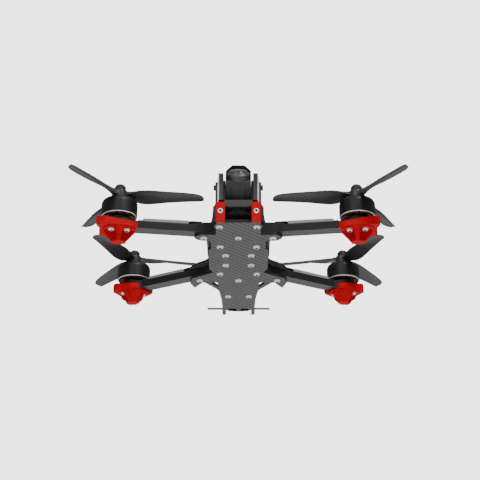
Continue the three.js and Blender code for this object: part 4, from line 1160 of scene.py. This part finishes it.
def capacitor():
    profile = [
        (0, -9), (4.1, -9), (4.8, -8.6), (4.8, -7.4), (4.55, -7.1), (4.8, -6.8), (4.8, 8.4), (4.2, 9), (0, 9)]
    return Mesh().add(*lathe(profile, 36), LABEL, at(0, 57.5, DECK + 5) @ TO_LEFT)


def internal_wires():
    """Two battery leads from the socket to the lower board, and the receiver's lead."""
    wires = Mesh()
    for sign in (1, -1):
        lead = [
            (sign * 3.6, 73, 24.5), (sign * 4.5, 66, 24.5), (sign * 6, 56, 26.5), (sign * 13.2, 45, 34.6),
            (sign * 12.5, 20, 34.8), (sign * 9, 8, 30), (sign * 7, 3.5, 24.5)]
        wires.add(*tube(curve_through(lead, 10), 1.5), WIRE_BLACK)
    lead = [(3, 73.5, 13.4), (5.5, 68, 14), (3, 60, 14.2), (2, 52, 13.4), (2, 44, 13.2)]
    wires.add(*tube(curve_through(lead, 8), 0.6), WIRE_BLACK)
    return wires


esc_chips = [(0, 0, 11, 20, 1.6), (0, -12.4, 24, 4, 1.2), (0, 12.4, 24, 4, 1.2)]
show(board(15.5, 22, DECK, esc_chips), "esc_board", "circuit_board")
controller_chips = [(0, 0, 8, 8, 1.2), (0, -10.4, 8, 5, 2.6), (6.4, 9.6, 4, 3, 1.4)]
show(board(14, 29, 24.9, controller_chips), "flight_controller", "circuit_board")
show(video_unit(), "video_unit", "black_anodised")
link_button().piece("look_link_button", "link_button", ["video_link_button"], "grey_plastic")
show(capacitor(), "capacitor", "black_plastic")
internal_wires().piece("internal_wires", "airframe")


# ---- Tail: battery socket, antenna mount, antennas and receiver ----

MAST = at(0, 96.5)


def battery_socket():
    socket = Mesh()
    outline = rounded([
        (-8, 20.5, 0.6), (5.6, 20.5, 0.4), (8, 22.9, 0.4), (8, 26.1, 0.4), (5.6, 28.5, 0.4), (-8, 28.5, 0.6)])
    hollow = rounded([(-6.8, 21.7), (5, 21.7), (6.8, 23.5), (6.8, 25.5), (5, 27.3), (-6.8, 27.3)])
    socket.add(*plate(outline, 73, 80.2, bevel=0.25), NYLON, TAILWARD)
    socket.add(*plate(outline, 79.6, 88, [hollow], bevel=0.2), NYLON, TAILWARD)
    for x in (3.6, -3.6):
        pin = [(0, 0), (1.7, 0), (1.7, 7.4), (1.4, 7.8), (0, 7.8)]
        socket.add(*lathe(pin, 24), BRASS, at(x, 79.5, 24.5) @ TO_TAIL)
    return socket


def tail_mount():
    """Rubber block on the bottom plate, a neck for the mast and two clips for the receiver's antenna."""
    mount = Mesh()
    mount.add(*box((-7.4, 7.4), (74, 90), (DECK, 20.2), 0.3), RUBBER)
    base = rounded([(-9.2, 88, 1), (9.2, 88, 1), (9.2, 105, 1), (-9.2, 105, 1)])
    mount.add(*plate(base, ARM, 14, bevel=0.4), RUBBER)
    mount.add(*box((-7.4, 7.4), (88.4, 92), (13, 20.2), 0.3), RUBBER)
    neck = [(1.8, 13), (3.6, 13), (3.6, 19.6), (3.3, 20), (1.8, 20)]
    mount.add(*lathe(neck, 32, closed=True), RUBBER, MAST)
    clip = rounded([(104, 10.6, 0.5), (112.4, 10.6, 0.8), (112.4, 14.2, 1), (104, 14.2, 0.5)])
    for _, half in SIDES:
        solid = plate(clip, 5.6, 8.4, [ring(110.6, 12.4, 1.1, 16)], bevel=0.3)
        mount.add(*solid, RUBBER, half @ ALONG_X)
    return mount


def receiver_antenna():
    """Thin rod held across the tail, thicker in its middle."""
    profile = [
        (0, -27), (0.7, -27), (0.85, -26.8), (0.85, -5), (1.7, -4.8), (1.7, 4.8), (0.85, 5), (0.85, 26.8),
        (0.7, 27), (0, 27)]
    return Mesh().add(*lathe(profile, 16), WIRE_BLACK, at(0, 110.6, 12.4) @ TO_LEFT)


def video_antenna():
    """Mast with a rounded cap and four ribs."""
    mast = Mesh()
    profile = [
        (0, 14), (1.5, 14), (1.5, 45), (2.2, 45.2), (3, 45.8), (5.6, 46.6), (6.7, 47.2), (7, 48.4), (7, 54),
        (6.6, 55.6), (5.6, 57), (3.4, 58.1), (0, 58.4)]
    mast.add(*lathe(profile, 40), BLACK_PLASTIC, MAST)
    for low in (17, 24, 31, 38):
        rib = [(1.5, low), (1.72, low + 0.3), (1.72, low + 0.9), (1.5, low + 1.2)]
        mast.add(*lathe(rib, 20), BLACK_PLASTIC, MAST)
    return mast


def receiver():
    radio = Mesh()
    radio.add(*box((-5.5, 5.5), (72.5, 86.5), (11.4, 12.6), 0.08), BOARD)
    radio.add(*box((-4, 4), (74, 80), (12, 14.4), 0.15), CHIP)
    radio.add(*box((-2, 2), (82, 85), (12, 13.6), 0.12), CHIP)
    return radio


show(battery_socket(), "battery_socket", "connector_yellow")
show(tail_mount(), "tail_mount", "black_rubber")
show(receiver_antenna(), "receiver_antenna", "black_plastic")
show(video_antenna(), "video_antenna", "black_plastic")
show(receiver(), "receiver", "circuit_board")


# ---- Battery seat ----

def grip_pad():
    """Rubber mat with ribs across it, but none under the strap."""
    pad = Mesh()
    outline = rounded([(-13.4, -27, 4), (13.4, -27, 4), (13.4, 38, 4), (-13.4, 38, 4)])
    pad.add(*plate(outline, ROOF, 44.1, bevel=0.3), RUBBER)
    y = -25
    while y < 37:
        if y < -1.5 or y > 11.5:
            pad.add(*box((-11.5, 11.5), (y, y + 1.1), (44, 44.4), 0.12), RUBBER)
        y += 2.2
    return pad


def strap_loop(half, low, high, radius):
    corners = [(-half, low, radius), (half, low, radius), (half, high, radius), (-half, high, radius)]
    return rounded(corners, 6)


def battery_strap():
    """Webbing round the top plate, with a stitched seam on each side."""
    strap = Mesh()
    outer = strap_loop(17.6, 39.3, 46.1, 1.8)
    inner = strap_loop(16.2, 40.7, 44.7, 0.5)
    strap.add(*plate(outer, -3, 13, [inner], bevel=0.25), WEB, TAILWARD)
    for x in (-8.6, 8.6):
        strap.add(*box((x - 0.25, x + 0.25), (-2, 12), (46.05, 46.2), 0.05), WEB)
    return strap


show(grip_pad(), "grip_pad", "black_rubber")
show(battery_strap(), "battery_strap", "webbing")


# ---- Floor, light and camera, in metres ----

LOOK_AT = (0, 0, 0.02)


def studio_floor(half, height, pale):
    """A pale floor that glows faintly, so that it stays pale under soft light."""
    shade = Nodes("floor")
    tone = shade.mix(shade.between(shade.noise(0.004, 3), 0.3, 0.7), grey(pale * 0.985), grey(pale))
    shade.finish(Base_Color=tone, Roughness=0.9, Emission_Color=tone, Emission_Strength=0.4)
    corners = [(-half, -half, height), (half, -half, height), (half, half, height), (-half, half, height)]
    data = bpy.data.meshes.new("floor")
    data.from_pydata(corners, [], [[0, 1, 2, 3]])
    data.materials.append(shade.material)
    floor = bpy.data.objects.new("floor", data)
    bpy.context.scene.collection.objects.link(floor)
    floor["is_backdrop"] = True


def area_light(name, place, size, power):
    data = bpy.data.lights.new(name, "AREA")
    data.size = size
    data.energy = power
    light = bpy.data.objects.new(name, data)
    light.location = place
    light.rotation_euler = (Vector(LOOK_AT) - Vector(place)).to_track_quat("-Z", "Y").to_euler()
    bpy.context.scene.collection.objects.link(light)


def studio_world(around, backdrop):
    """A soft room, brighter overhead than level with the object, in front of a white backdrop."""
    world = bpy.data.worlds.new("studio")
    world.use_nodes = True
    tree = world.node_tree
    place = tree.nodes.new("ShaderNodeTexCoord").outputs["Generated"]
    split = tree.nodes.new("ShaderNodeSeparateXYZ")
    ramp = tree.nodes.new("ShaderNodeMapRange")
    for socket, value in zip(ramp.inputs[1:5], (0.0, 0.9, around * 0.35, around * 1.6)):
        socket.default_value = value
    tree.links.new(place, split.inputs[0])
    tree.links.new(split.outputs[2], ramp.inputs[0])
    room = tree.nodes["Background"]
    tree.links.new(ramp.outputs[0], room.inputs["Strength"])
    paper = tree.nodes.new("ShaderNodeBackground")
    paper.inputs["Strength"].default_value = backdrop
    seen = tree.nodes.new("ShaderNodeLightPath").outputs["Is Camera Ray"]
    choose = tree.nodes.new("ShaderNodeMixShader")
    tree.links.new(seen, choose.inputs[0])
    tree.links.new(room.outputs[0], choose.inputs[1])
    tree.links.new(paper.outputs[0], choose.inputs[2])
    tree.links.new(choose.outputs[0], tree.nodes["World Output"].inputs["Surface"])
    for shade in (room, paper):
        shade.inputs["Color"].default_value = (1, 1, 1, 1)
    bpy.context.scene.world = world


def photo_camera(place, direction, lens):
    data = bpy.data.cameras.new("view")
    data.lens = lens
    data.sensor_width = 36
    data.clip_start = 0.01
    view = bpy.data.objects.new("view", data)
    view.location = place
    view.rotation_euler = Vector(direction).to_track_quat("-Z", "Y").to_euler()
    bpy.context.scene.collection.objects.link(view)
    bpy.context.scene.camera = view


studio_floor(6, -0.75, 0.95)
area_light("key", (0.45, -0.8, 1.0), 0.4, 12)
area_light("front", (-0.4, -1.0, 0.6), 0.6, 3)
studio_world(0.27, 3.4)
photo_camera((0.00126, -0.9755 + AHEAD * 0.001, -0.3904), (0, 0.9184, 0.3955), 100.1)

low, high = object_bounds()
